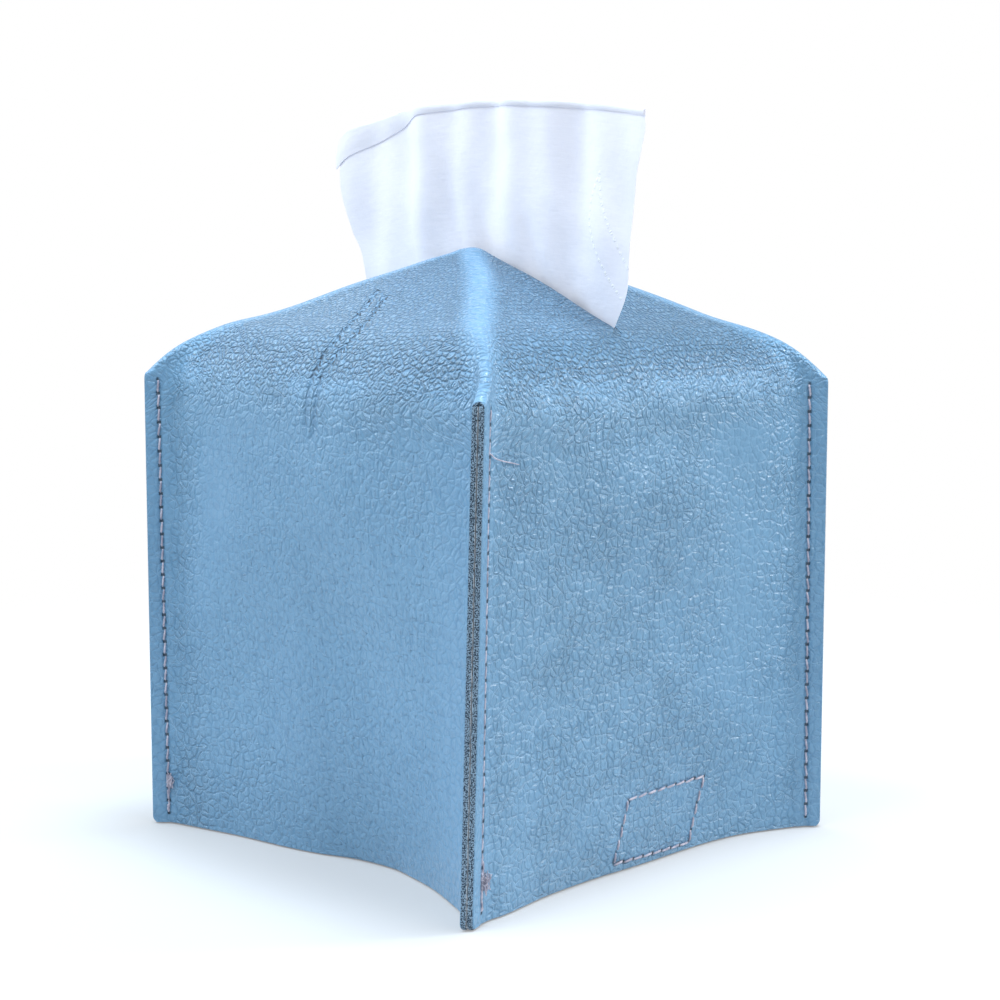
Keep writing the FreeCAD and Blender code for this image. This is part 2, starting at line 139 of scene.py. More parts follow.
# How far the foot of each wall draws in, over the place along the wall
FOOT_BOW = {
    "front": [(-50, 0), (-27, 3.0), (-8, 5.0), (16, 5.7), (41, 3.8), (56, 0)],
    "left": [(-54, 0), (-42, 2.6), (-9, 8.9), (3, 12.7), (13, 13.6), (25, 11.4), (46, 4.6), (55, 0)],
    "back": [(-55, 0), (-24, 4.6), (4, 5.8), (30, 4.4), (55, 0)],
    "right": [(-55, 0), (-30, 4.2), (-6, 7.8), (20, 6.4), (55, 0)],
}
BOW_HEIGHT = 100.0
BOW_POWER = 1.3

# Each corner at its foot and at the seam's top: the flange's lean towards the panel on its left, in degrees,
# its shift towards the panel on its right, the fold's lift, and the stitch line's inset from the raw edge
CORNERS = {
    "front_left": {"lean": (22.0, 14.0), "shift": (0.5, 2.5), "lift": (0.0, 0.0), "inset": (4.3, 4.3)},
    "front_right": {"lean": (-3.0, 2.0), "shift": (0.0, 0.0), "lift": (0.0, 0.6), "inset": (3.6, 4.5)},
    "back_left": {"lean": (2.0, -3.0), "shift": (0.0, -0.6), "lift": (0.0, 1.5), "inset": (4.2, 3.3)},
    "back_right": {"lean": (-9.0, -4.0), "shift": (0.3, -0.5), "lift": (0.0, 0.8), "inset": (4.2, 4.0)},
}
LEAN_ROOT = 81.6


# Small tools for numbers
def smooth(t):
    """Eases from 0 to 1."""
    t = np.clip(t, 0.0, 1.0)
    return t * t * (3.0 - 2.0 * t)


def ease(value, start, reach):
    """Eases from 0 at the start to 1 a reach away."""
    return smooth((value - start) / reach)


def curve(points, at):
    """Smooth line through points, without overshoot."""
    x, y = np.array(points, float).T
    gap = np.diff(x)
    slope = np.diff(y) / gap
    lean = np.concatenate(([slope[0]], np.zeros(len(x) - 2), [slope[-1]]))
    for k in range(1, len(x) - 1):
        if slope[k - 1] * slope[k] > 0:
            lean[k] = 2 * slope[k - 1] * slope[k] / (slope[k - 1] + slope[k])
    i = np.clip(np.searchsorted(x, at) - 1, 0, len(x) - 2)
    t = np.clip((at - x[i]) / gap[i], 0.0, 1.0)
    rise = y[i + 1] - y[i]
    start = gap[i] * lean[i]
    end = gap[i] * lean[i + 1]
    return y[i] + start * t + (3 * rise - 2 * start - end) * t**2 + (start + end - 2 * rise) * t**3


def ripple(a, b, seed, wavelength):
    """Gentle unevenness of about unit height over a plane."""
    rng = np.random.default_rng(seed)
    total = 0.0
    for _ in range(7):
        turn, phase = rng.uniform(0, 2 * math.pi, 2)
        wave = wavelength * rng.uniform(0.7, 1.7)
        total = total + np.sin((a * math.cos(turn) + b * math.sin(turn)) * 2 * math.pi / wave + phase)
    return total / 3.0


def unit(vectors):
    """Vectors brought to length 1."""
    return vectors / np.maximum(np.linalg.norm(vectors, axis=-1, keepdims=True), 1e-9)


def near_line(u, v, points, counts=None):
    """Distance from a broken line, and the way along it, in millimetres or in counts per part."""
    best, way = np.full(np.shape(u), 1e9), np.zeros(np.shape(u))
    done = 0.0
    for k, (a, b) in enumerate(zip(points, points[1:])):
        step = np.subtract(b, a)
        share = np.clip(((u - a[0]) * step[0] + (v - a[1]) * step[1]) / (step @ step), 0.0, 1.0)
        gap = np.hypot(u - a[0] - share * step[0], v - a[1] - share * step[1])
        part = counts[k] if counts else float(np.hypot(*step))
        way = np.where(gap < best, done + share * part, way)
        best = np.minimum(best, gap)
        done += part
    return best, way


def box_mm(node):
    """Lowest and highest corner of a solid's box."""
    return [np.array(v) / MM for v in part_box(node)]


# Shape of the leather shell
SHOULDER_IN = HALF - SHOULDER_R
CROWN_CENTRE = CROWN - CROWN_R
RAFTER = math.atan2(CROWN_CENTRE - WALL, SHOULDER_IN) - math.asin(
    (SHOULDER_R - CROWN_R) / math.hypot(SHOULDER_IN, CROWN_CENTRE - WALL)
)
EAVE = SHOULDER_IN + SHOULDER_R * math.sin(RAFTER)
RIDGE_FOOT = CROWN_R * math.sin(RAFTER)


def roof_height(h):
    """Height of the roof where its square section has half-width h."""
    crown = CROWN_CENTRE + np.sqrt(np.maximum(CROWN_R**2 - h**2, 0.0))
    rafter = WALL + SHOULDER_R * math.cos(RAFTER) + (EAVE - h) * math.tan(RAFTER)
    shoulder = WALL + np.sqrt(np.maximum(SHOULDER_R**2 - (h - SHOULDER_IN) ** 2, 0.0))
    share = np.clip((h - RIDGE_FOOT) / (EAVE - RIDGE_FOOT), 0.0, 1.0)
    plain = np.where(h < RIDGE_FOOT, crown, np.where(h < EAVE, rafter, shoulder))
    return plain + ROOF_BULGE * np.sin(math.pi * share) ** 2


def half_width(z):
    """Half-width of the section at height z, on the walls and shoulders."""
    over = np.clip(z - WALL, 0.0, SHOULDER_R)
    return SHOULDER_IN + np.sqrt(SHOULDER_R**2 - over**2)


def sheet_length(h, z):
    """Distance from the crown's middle to this level, along the leather."""
    over_crown = CROWN_R * np.arcsin(np.clip(h / CROWN_R, 0.0, math.sin(RAFTER)))
    down_rafter = np.clip(h - RIDGE_FOOT, 0.0, EAVE - RIDGE_FOOT) / math.cos(RAFTER)
    turn = np.arccos(np.clip((z - WALL) / SHOULDER_R, 0.0, math.cos(RAFTER)))
    round_shoulder = SHOULDER_R * (np.where(h >= EAVE, turn, RAFTER) - RAFTER)
    return over_crown + down_rafter + round_shoulder + np.maximum(WALL - z, 0.0)


def corner_reach(h, z):
    """Distance of the corner's raw edge, fold or ridge from the axis."""
    fin = FIN_CENTRE[0] + np.sqrt(np.maximum(FIN_R**2 - (z - FIN_CENTRE[1]) ** 2, 0.0))
    fin = np.where(z > FIN_CENTRE[1], np.minimum(fin, TIP), TIP)
    low = FLANGE_ROUND - np.minimum(z, FLANGE_ROUND)
    fin = fin - FLANGE_ROUND + np.sqrt(FLANGE_ROUND**2 - low**2)
    rounding = RIDGE_ROUND + CROWN_SOFT * np.exp(-h / CROWN_SOFT_REACH)
    ridge = ROOT2 * h - np.minimum(rounding, 0.3 * h)
    share = smooth((z - FIN_MERGE[0]) / (FIN_MERGE[1] - FIN_MERGE[0]))
    return fin * (1.0 - share) + ridge * share


def fraction_at(h, z, s):
    """Fraction of the half-panel at distance s along the corner's diagonal."""
    start = h / ROOT2
    return (s - start) / (corner_reach(h, z) - start)


def section(h, z, f, closed=True):
    """Half of a level section: distances along and from the corner's diagonal."""
    start = h / ROOT2
    reach = np.maximum(corner_reach(h, z), start)
    s = start + f * (reach - start)
    fold = smooth((z - SEAM_TOP) / (FIN_MERGE[1] - SEAM_TOP))
    ply = PLY + (RIDGE_PLY - PLY) * fold
    soft = np.minimum(ROOT_SOFT + (RIDGE_SOFT - ROOT_SOFT) * fold, 0.35 * h)
    a = ROOT2 * h - s
    c = 0.5 * (a + ply + np.sqrt((a - ply) ** 2 + soft**2))
    middle = 0.5 * (start + ply + np.sqrt((start - ply) ** 2 + soft**2))
    c = c - (middle - start) * (1.0 - f) ** 2
    lap = np.minimum(LAP + (RIDGE_LAP - LAP) * fold, 0.45 * (reach - start) + 1e-6)
    over = np.clip((s - (reach - lap)) / lap, 0.0, 1.0)
    close = np.clip((z - SEAM_TOP + PLY) / PLY, 0.0, 1.0)
    close = closed * (1.0 - np.sqrt(1.0 - close**2))
    return s, c * (1.0 - close * (1.0 - np.sqrt(1.0 - over**2)))


def at_corner(what, panel, side, z):
    """A corner's value at height z, for each side of a panel."""
    share = np.clip(z / SEAM_TOP, 0.0, 1.0)
    right, left = CORNERS[RIGHT_END[panel]][what], CORNERS[LEFT_END[panel]][what]
    foot = np.where(side > 0, right[0], left[0])
    head = np.where(side > 0, right[1], left[1])
    return foot + (head - foot) * share


def to_world(panel, u, n, z):
    """Points from a panel's own frame: along it to the right, outward, up."""
    x, y = ACROSS[panel]
    return np.stack([u * x + n * y, u * y - n * x, z + 0.0 * u], axis=-1)


def bare(panel, side, h, z, f):
    """Leather's outer face before it sags and leans."""
    s, c = section(h, z, f)
    return to_world(panel, side * (s - c) / ROOT2, (s + c) / ROOT2, z)


def place(panel, side, h, z, f):
    """Leather's outer face as it stands."""
    s, c = section(h, z, f)
    sewn = ease(z, *SEWN_BELOW)
    off_line = s - (TIP - at_corner("inset", panel, side, z))
    c = c - PINCH * sewn * np.exp(-((off_line / PINCH_WIDE) ** 2))
    u = side * (s - c) / ROOT2
    n = (s + c) / ROOT2
    fade = np.clip(1.0 - z / BOW_HEIGHT, 0.0, 1.0) ** BOW_POWER
    on_wall = ease(np.abs(u), *WAVY_ALONG) * ease(z, *WAVY_BELOW)
    n = n - curve(FOOT_BOW[panel], u) * fade
    n = n + WALL_WAVES[0] * on_wall * ripple(u, z, PANELS.index(panel) + 11, WALL_WAVES[1])
    past_root = s - LEAN_ROOT
    past_root = 0.5 * (past_root + np.sqrt(past_root**2 + 1.0)) * ease(z, *LEAN_BELOW)
    lean = np.tan(np.radians(at_corner("lean", panel, side, z))) * past_root
    sway = (lean - at_corner("shift", panel, side, z) * ease(s, *SHIFT_PAST)) / ROOT2
    lift = at_corner("lift", panel, side, z) * ease(s, *LIFT_PAST) * ease(z, *LIFT_ABOVE)
    world = to_world(panel, u - sway, n + side * sway, z + lift)
    x, y = world[..., 0], world[..., 1]
    on_roof = ease(z, *ROOF_ABOVE)
    x_side = np.sign(x)
    if panel in ("front", "back"):
        x_side = side * ACROSS[panel][0]
    gape = np.clip(1.0 - (y / SLOT_HALF) ** 2, 0.0, 1.0) * np.exp(-((x / LIP_SPREAD) ** 2)) * on_roof
    curl = LIP_CURL * gape * np.exp(-((x / CURL_WIDE) ** 2))
    swell = ROOF_WAVES[0] * on_roof * ripple(x, y, 5, ROOF_WAVES[1]) * smooth(np.abs(x) / SWELL_PAST)
    return np.stack([x + x_side * SLOT_GAPE * gape, y, world[..., 2] + swell + curl], axis=-1)


def wall_point(panel, u, z):
    """Point on a wall's outer face."""
    h = half_width(z)
    s = (np.abs(u) + h) / ROOT2
    return place(panel, np.where(u < 0, -1.0, 1.0), h, z, fraction_at(h, z, s))


def on_surface(locate, a, b, step=0.2):
    """Point and outward normal of a surface locate(a, b)."""
    point = locate(a, b)
    first = locate(a + step, b) - locate(a - step, b)
    second = locate(a, b + step) - locate(a, b - step)
    normal = unit(np.cross(unit(first), unit(second)))
    return point, -normal if normal[:2] @ point[:2] < 0 else normal


# Materials
class Graph:
    """A material and short ways to add and join its nodes."""

    def __init__(self, name, dims="2D"):
        self.material = bpy.data.materials.new(name)
        self.material.use_nodes = True
        self.tree = self.material.node_tree
        self.shader = self.tree.nodes["Principled BSDF"]
        self.dims = dims

    def feed(self, socket, value):
        if isinstance(value, bpy.types.NodeSocket):
            self.tree.links.new(value, socket)
        else:
            socket.default_value = value

    def add(self, kind, *values, **settings):
        """New node, with values for its first sockets."""
        node = self.tree.nodes.new("ShaderNode" + kind)
        for key, value in settings.items():
            setattr(node, key, value)
        for socket, value in zip(node.inputs, values):
            self.feed(socket, value)
        return node

    def put(self, node, **values):
        """Values for a node's sockets, named with underscores."""
        for key, value in values.items():
            self.feed(node.inputs[key.replace("_", " ")], value)
        return node.outputs

    def set(self, **values):
        """Values for the shader's own sockets."""
        self.put(self.shader, **values)
        return self.material

    def math(self, operation, *values):
        return self.add("Math", *values, operation=operation).outputs[0]

    def times(self, a, b, plus=None):
        if plus is None:
            return self.math("MULTIPLY", a, b)
        return self.math("MULTIPLY_ADD", a, b, plus)

    def vector(self, operation, a, b):
        return self.add("VectorMath", a, b, operation=operation).outputs[0]

    def attribute(self, name):
        return self.add("Attribute", attribute_name=name).outputs["Vector"]

    def place(self):
        return self.add("TexCoord").outputs["Object"]

    def split(self, vector):
        return self.add("SeparateXYZ", vector).outputs

    def noise(self, vector, scale, detail=2.0, output="Fac"):
        node = self.add("TexNoise", noise_dimensions=self.dims)
        return self.put(node, Vector=vector, Scale=scale, Detail=detail)[output]

    def cells(self, vector, scale, randomness=1.0):
        """Distance from the edges of scattered cells."""
        node = self.add("TexVoronoi", voronoi_dimensions=self.dims, feature="DISTANCE_TO_EDGE")
        return self.put(node, Vector=vector, Scale=scale, Randomness=randomness)["Distance"]

    def warp(self, vector, scale, reach):
        """Place moved by a wandering offset of about the given reach."""
        cloud = self.vector("SUBTRACT", self.noise(vector, scale, output="Color"), (0.5, 0.5, 0.5))
        drift = self.put(self.add("VectorMath", cloud, operation="SCALE"), Scale=reach)[0]
        return self.vector("ADD", vector, drift)

    def between(self, a, b, share):
        """Number from a to b."""
        return self.times(share, self.math("SUBTRACT", b, a), a)

    def ramp(self, value, low, high, to_low=0.0, to_high=1.0):
        """Eases from to_low to to_high as value goes from low to high."""
        ends = (low, high, to_low, to_high)
        return self.add("MapRange", value, *ends, interpolation_type="SMOOTHSTEP").outputs[0]

    def fade(self, value, low, high, most=1.0):
        """Eases down to nothing as value goes from low to high."""
        return self.ramp(value, low, high, most, 0.0)

    def marks(self, off_line, count, across, along):
        """Small spots at each whole count along a line, which fade over these reaches."""
        half_off = self.math("SUBTRACT", self.math("FRACT", self.math("ADD", count, 0.5)), 0.5)
        return self.times(self.fade(off_line, *across), self.fade(self.math("ABSOLUTE", half_off), *along))

    def mix(self, share, a, b):
        node = self.add("Mix", share, data_type="RGBA")
        for socket, value in zip(node.inputs[6:8], (a, b)):
            self.feed(socket, (*value, 1.0) if isinstance(value, tuple) else value)
        return node.outputs[2]

    def bump(self, height, distance, strength=1.0, under=None):
        node = self.add("Bump")
        if under is not None:
            self.put(node, Normal=under)
        return self.put(node, Strength=strength, Distance=distance, Height=height)[0]


# Cells and pores of the leather per metre, and the pitch of its backing's knit
WALL_CELLS = 470.0
ROOF_CELLS = 600.0
WRINKLE_CELLS = 1150.0
CREASE_CELLS = 120.0
PORES = 2600.0
KNIT = (0.0009, 0.0012)


def grained_leather(name, deep, mid, light, crease_highlight_tone):
    """Pebbled leather. Its attributes give the place on the flat sheet, by the stitches, and the grain."""
    g = Graph(name)
    flat = g.attribute("flat")
    on_wall = g.split(flat)[2]
    pebbled, streaked, folded = g.split(g.attribute("skin"))
    off_line, count, _ = g.split(g.attribute("seam"))
    off_line = g.math("ABSOLUTE", off_line)

    # Pebbles, smaller on the roof than on the walls, with wrinkles, pores and long crease lines
    warped = g.warp(flat, 280.0, 0.0015)
    wall_edge = g.cells(warped, WALL_CELLS, 0.95)
    roof_edge = g.cells(warped, ROOF_CELLS, 0.85)
    pebble = g.between(g.ramp(roof_edge, 0.0, 0.36), g.ramp(wall_edge, 0.0, 0.26), on_wall)
    wrinkle = g.ramp(g.cells(warped, WRINKLE_CELLS), 0.0, 0.3)
    pores = g.noise(flat, PORES, 3.0)
    line_gap = g.cells(g.warp(flat, 70.0, 0.011), CREASE_CELLS)
    height = g.times(wrinkle, 0.22, pebble)
    height = g.times(pores, 0.1, height)
    height = g.times(g.ramp(line_gap, 0.004, 0.05), 0.45, height)
    height = g.times(height, g.between(2.6, 1.3, on_wall))

    # Needle holes and the groove that the stitches pull in
    hole = g.marks(off_line, count, (0.0003, 0.0006), (0.06, 0.15))
    groove = g.fade(off_line, 0.0001, 0.001)

    # Colour: broad tone and mottling; painted highlight along the walls' creases and the long crease lines;
    # painted shade in the creases (deepest on the roof), along the fold lines and in the stitch groove;
    # needle holes painted dark as shade
    body = g.mix(g.ramp(g.noise(flat, 24.0, 3.0), 0.3, 0.7), mid, light)
    body = g.mix(g.ramp(g.noise(flat, 500.0, 3.0), 0.4, 0.75, 0.0, 0.3), body, deep)
    # Painted shade: the pebbles' creases darkened, deepest on the roof
    dark = g.between(g.fade(roof_edge, 0.0, 0.12, 0.8), g.fade(wall_edge, 0.02, 0.12, 0.3), on_wall)
    body = g.mix(g.times(dark, pebbled), body, deep)
    # Painted highlight: pale lines in patches along the walls' creases and along the long crease lines, where
    # their lips would catch light from above
    highlight_patches = g.ramp(g.noise(flat, 230.0), 0.42, 0.6)
    pale = g.times(g.fade(wall_edge, 0.012, 0.045, 0.75), highlight_patches)
    pale = g.math("MAXIMUM", pale, g.fade(line_gap, 0.003, 0.012, 0.55))
    body = g.mix(g.times(g.times(pale, on_wall), pebbled), body, crease_highlight_tone)
    # Painted shade along the fold lines pressed into the roof
    body = g.mix(g.times(folded, 0.5), body, deep)
    # Painted shade in the groove that the stitches pull in
    body = g.mix(g.times(groove, 0.5), body, deep)
    # Needle holes painted near black, as the shade inside them
    body = g.mix(g.times(hole, 0.85), body, (0.012, 0.018, 0.03))
    rough = g.times(pores, 0.08, g.times(pebble, -0.2, 0.47))

    # Relief: soft swells, drawn streaks and specks, the pebbles, then grooves, holes and folds
    soft = g.bump(g.noise(flat, 90.0, 3.0), 0.0009, 0.3)
    streak = g.noise(g.vector("MULTIPLY", flat, (0.16, 1.0, 1.0)), 1700.0, 3.0)
    drawn = g.bump(streak, 0.0002, streaked, soft)
    dotted = g.bump(g.ramp(g.noise(flat, 1000.0), 0.62, 0.72), 0.0002, streaked, drawn)
    patchy = g.ramp(g.noise(flat, 55.0), 0.3, 0.65, 0.6, 1.0)
    strength = g.times(pebbled, g.math("MAXIMUM", patchy, g.fade(on_wall, 0.2, 0.8)))
    fine = g.bump(height, 0.0004, strength, dotted)
    depth = g.math("ADD", g.times(groove, -0.5), g.times(hole, -0.9))
    normal = g.bump(g.times(folded, -1.6, depth), 0.0004, 1.0, fine)
    g.set(Base_Color=body, Roughness=rough, Normal=normal, Specular_IOR_Level=0.6)

    # Gloss on the pebbles' tops, each tilted a little, and none in the creases
    top = g.between(g.ramp(roof_edge, 0.03, 0.13), g.ramp(wall_edge, 0.03, 0.12), on_wall)
    shiny = g.times(top, g.ramp(folded, 0.0, 0.5, 1.0, 0.1))
    tilt = g.bump(g.noise(warped, 480.0, 1.0), 0.0007, 0.6, soft)
    gloss = g.bump(g.times(pores, 0.6, top), 0.0002, 1.0, tilt)
    g.set(Coat_Weight=g.times(shiny, 0.42), Coat_Roughness=0.15, Coat_Normal=gloss)
    return g.set(Sheen_Weight=0.12, Sheen_Roughness=0.35, Sheen_Tint=(0.62, 0.76, 1.0, 1.0))


def backing_cloth():
    """Knitted cloth on the leather's inner face."""
    g = Graph("backing_cloth")
    flat = g.attribute("flat")
    waves = [g.math("SINE", g.times(v, 2 * math.pi / pitch)) for v, pitch in zip(g.split(flat), KNIT)]
    knit = g.times(*waves)
    fuzz = g.noise(flat, 1800.0, 3.0)
    body = g.mix(g.ramp(fuzz, 0.3, 0.75), (0.44, 0.5, 0.57), (0.62, 0.67, 0.72))
    body = g.mix(g.ramp(g.noise(flat, 40.0, 3.0), 0.4, 0.8, 0.0, 0.3), body, (0.36, 0.43, 0.5))
    body = g.mix(g.fade(knit, -1.0, 0.2, 0.35), body, (0.25, 0.3, 0.36))
    relief = g.bump(g.times(fuzz, 0.6, knit), 0.00018, 0.8)
    return g.set(Base_Color=body, Roughness=0.95, Normal=relief, Sheen_Weight=0.25)


def raw_edge():
    """Cut edge: speckled core, pale cloth on the inner side."""
    g = Graph("raw_edge", "3D")
    spot = g.place()
    depth = g.split(g.attribute("seam"))[2]
    speck = g.noise(spot, 3600.0, 1.0)
    fibre = g.noise(spot, 4200.0)
    tuft = g.ramp(g.noise(spot, 900.0), 0.42, 0.56, 0.1, 1.0)
    core = g.mix(g.ramp(speck, 0.44, 0.56), (0.014, 0.03, 0.055), (0.27, 0.4, 0.53))
    core = g.mix(g.fade(depth, 0.05, 0.2, 0.75), core, (0.2, 0.38, 0.58))
    cloth = g.mix(g.ramp(fibre, 0.35, 0.65), (0.45, 0.53, 0.62), (0.88, 0.92, 0.96))
    body = g.mix(g.times(g.ramp(depth, 0.9, 1.0), tuft), core, cloth)
    relief = g.bump(g.math("ADD", speck, fibre), 0.0003, 0.8)
    return g.set(Base_Color=body, Roughness=0.85, Normal=relief, Specular_IOR_Level=0.3)


def sewing_thread():
    """Pale lilac-grey polyester thread."""
    g = Graph("sewing_thread", "3D")
    spot = g.place()
    fibre = g.noise(g.vector("MULTIPLY", spot, (1.0, 1.0, 0.35)), 6000.0)
    body = g.mix(g.ramp(g.noise(spot, 420.0), 0.35, 0.65), (0.34, 0.33, 0.42), (0.6, 0.57, 0.66))
    body = g.mix(g.ramp(fibre, 0.5, 0.7, 0.0, 0.4), body, (0.22, 0.21, 0.28))
    return g.set(Base_Color=body, Roughness=0.55, Normal=g.bump(fibre, 0.00008, 0.7), Sheen_Weight=0.3)


def soft_tissue():
    """Bluish white tissue paper with fine fibres and rows of pressed dots at one edge."""
    g = Graph("soft_tissue")
    flat = g.attribute("flat")
    off_line, count, _ = g.split(g.attribute("seam"))
    fibre = g.noise(g.vector("MULTIPLY", flat, (1.0, 0.5, 1.0)), 1500.0, 4.0)
    crepe = g.noise(g.vector("MULTIPLY", flat, (0.25, 1.0, 1.0)), 1100.0)
    cloud = g.noise(flat, 60.0, 3.0)
    dot = g.marks(off_line, count, (0.0002, 0.0005), (0.18, 0.34))
    body = g.mix(g.ramp(cloud, 0.35, 0.7), (0.87, 0.87, 0.965), (0.91, 0.905, 0.99))
    body = g.mix(g.ramp(fibre, 0.55, 0.8, 0.0, 0.25), body, (0.79, 0.8, 0.93))
    body = g.mix(g.times(dot, 0.8), body, (0.97, 0.98, 1.0))
    soft = g.bump(g.times(dot, 0.3, cloud), 0.0012, 0.4)
    relief = g.bump(g.times(fibre, 0.6, crepe), 0.00006, 0.7, soft)
    g.set(Base_Color=body, Roughness=0.92, Normal=relief, Specular_IOR_Level=0.2, Sheen_Weight=0.15)
    return g.set(Subsurface_Weight=0.08, Subsurface_Radius=(0.004, 0.004, 0.005), Subsurface_Scale=1.0)


def pile(name, dark, pale):
    """Nylon of the fastener's loops and hooks."""
    g = Graph(name, "3D")
    spot = g.place()
    strand = g.noise(spot, 3000.0, 3.0)
    body = g.mix(g.ramp(g.noise(spot, 300.0, 3.0), 0.3, 0.7), dark, pale)
    body = g.mix(g.ramp(strand, 0.45, 0.75, 0.0, 0.4), body, dark)
    return g.set(Base_Color=body, Roughness=0.6, Normal=g.bump(strand, 0.0001, 0.6), Sheen_Weight=0.3)


# Leather tones: deep, mid, light, and the painted highlight colour of the walls' crease lines
BLUES = ((0.065, 0.185, 0.335), (0.138, 0.312, 0.495), (0.156, 0.34, 0.53), (0.37, 0.58, 0.78))
BELT_BLUES = ((0.08, 0.2, 0.35), (0.145, 0.315, 0.5), (0.165, 0.345, 0.54), (0.33, 0.53, 0.71))
LEATHER = grained_leather("grained_leather", *BLUES)
BELT_LEATHER = grained_leather("belt_leather", *BELT_BLUES)
CLOTH = backing_cloth()
EDGE = raw_edge()
THREAD = sewing_thread()
TISSUE = soft_tissue()
LOOPS = pile("loop_pile", (0.3, 0.42, 0.56), (0.48, 0.6, 0.72))
HOOKS = pile("hook_pile", (0.26, 0.37, 0.5), (0.42, 0.53, 0.66))


# Meshes
def make_piece(name, points, faces, materials, kinds, sharp=50.0, **attributes):
    """Mesh object from points in millimetres, with its attributes."""
    mesh = bpy.data.meshes.new(name)
    mesh.from_pydata((np.asarray(points, float) * MM).tolist(), [], faces)
    for material in materials:
        mesh.materials.append(material)
    mesh.polygons.foreach_set("material_index", np.asarray(kinds, np.int32))
    for label, values in attributes.items():
        made = mesh.attributes.new(label, "FLOAT_VECTOR", "POINT")
        made.data.foreach_set("vector", np.asarray(values, np.float32).ravel())
    work = bmesh.new()
    work.from_mesh(mesh)
    bmesh.ops.recalc_face_normals(work, faces=work.faces)
    work.to_mesh(mesh)
    work.free()
    mesh.polygons.foreach_set("use_smooth", np.ones(len(mesh.polygons), bool))
    mesh.set_sharp_from_angle(angle=math.radians(sharp))
    piece = bpy.data.objects.new(name, mesh)
    bpy.context.scene.collection.objects.link(piece)
    return piece


def dress(piece, body, node):
    """Hangs a piece on the body that it rides on, and hides the solid that it stands for."""
    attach(piece, body)
    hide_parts(node)


RIM_STEPS = ((0.16, 0.15), (0.4, 0.24), (0.65, 0.24), (0.88, 0.17))
RIM_INNER = 0.1
SLAB_SKIN = (0.75, 0.0, 0.0)


def close_rim(outer, inner, edges, inside):
    """Rounded cut edge between two faces: its points, depths, parents and faces.

    edges are pairs of point numbers along the boundary, and inside gives
    each boundary point's neighbours further in.
    """
    numbers = sorted(inside)
    chains, points = {}, []
    for number in numbers:
        away = unit(sum(unit(outer[number] - outer[near]) for near in inside[number]))
        first = 2 * len(outer) + len(points)
        chains[number] = [number, *range(first, first + len(RIM_STEPS)), number + len(outer)]
        for depth, bulge in RIM_STEPS:
            points.append(outer[number] * (1 - depth) + inner[number] * depth + away * bulge)
        inner[number] = inner[number] + away * RIM_INNER
    parents = np.repeat(numbers, len(RIM_STEPS))
    depths = [depth for depth, _ in RIM_STEPS] * len(numbers)
    faces = []
    for a, b in edges:
        rungs = list(zip(chains[a], chains[b]))
        faces.extend((*low, *reversed(high)) for low, high in zip(rungs, rungs[1:]))
    return np.array(points), depths, parents, faces


def closed_sheet(name, outer, inner, faces, edges, inside, materials, looks, bulge=1.0):
    """Sheet between its outer and inner points, with a rounded cut edge and its attributes."""
    rim, depths, parents, rim_faces = close_rim(outer, inner, edges, inside)
    half = (outer[parents] + inner[parents]) / 2
    points = np.concatenate([outer, inner, half + (rim - half) * bulge])
    back = [tuple(v + len(outer) for v in reversed(face)) for face in faces]
    kinds = [0] * len(faces) + [1] * len(faces) + [2] * len(rim_faces)
    flat, seam, skin = (np.concatenate([x, x, x[parents]]) for x in looks)
    seam[:, 2] = np.concatenate([np.zeros(len(outer)), np.ones(len(inner)), depths])
    faces = [*faces, *back, *rim_faces]
    return make_piece(name, points, faces, materials, kinds, flat=flat, seam=seam, skin=skin)


def quads(numbers):
    """Faces of a grid of point numbers."""
    corners = [numbers[:-1, :-1], numbers[:-1, 1:], numbers[1:, 1:], numbers[1:, :-1]]
    return np.stack(corners, axis=-1).reshape(-1, 4).tolist()


def slab(name, middle, thick, materials, flat, marks=None):
    """Closed strip of sheet: a grid of middle points, thickened both ways."""
    rows, columns = middle.shape[:2]
    normal = unit(np.cross(np.gradient(middle, axis=1), np.gradient(middle, axis=0)))
    outer = (middle + normal * thick / 2).reshape(-1, 3)
    inner = (middle - normal * thick / 2).reshape(-1, 3)
    number = np.arange(rows * columns).reshape(rows, columns)
    loop = [*number[0, :-1], *number[:-1, -1], *number[-1, :0:-1], *number[:0:-1, 0]]
    loop = [int(k) for k in loop]
    inside = {}
    for k in loop:
        i, j = divmod(k, columns)
        inside[k] = [int(number[min(max(i, 1), rows - 2), min(max(j, 1), columns - 2)])]
    edges = list(zip(loop, loop[1:] + loop[:1]))
    seam = np.full((len(outer), 3), FAR_OFF * MM)
    if marks is not None:
        seam[:, :2] = marks.reshape(-1, 2)
    looks = (flat.reshape(-1, 3), seam, np.tile(SLAB_SKIN, (len(outer), 1)))
    bulge = min(1.0, thick / THICK)
    return closed_sheet(name, outer, inner, quads(number), edges, inside, materials, looks, bulge)


# The leather shell
def spread(step, h):
    """Fractions of a half-panel, set closer together at the flange."""
    knee = (COLUMNS - FLANGE_COLUMNS) / COLUMNS
    start = HALF / ROOT2
    reach = (FLANGE_START - start) / (TIP - start)
    fine = np.where(step < knee, step / knee * reach, reach + (step - knee) / (1 - knee) * (1 - reach))
    return step + (fine - step) * ease(h, *FLANGE_FROM)


def shell_levels():
    """Heights of the rows from the foot to the crown's grid."""
    foot = np.linspace(FOOT_ROUND, FOOT_BAND, 6)
    wall = np.linspace(FOOT_BAND, WALL, WALL_ROWS)[1:]
    below = np.linspace(WALL, SEAM_TOP - PLY, 5)[1:]
    top = SEAM_TOP - PLY + PLY * np.sin(np.radians([18, 36, 54, 72, 90]))
    grid = float(roof_height(np.array(GRID_HALF)))
    above = np.linspace(SEAM_TOP, grid, 10)[1:-1]
    return np.concatenate([foot, wall, below, top, above])


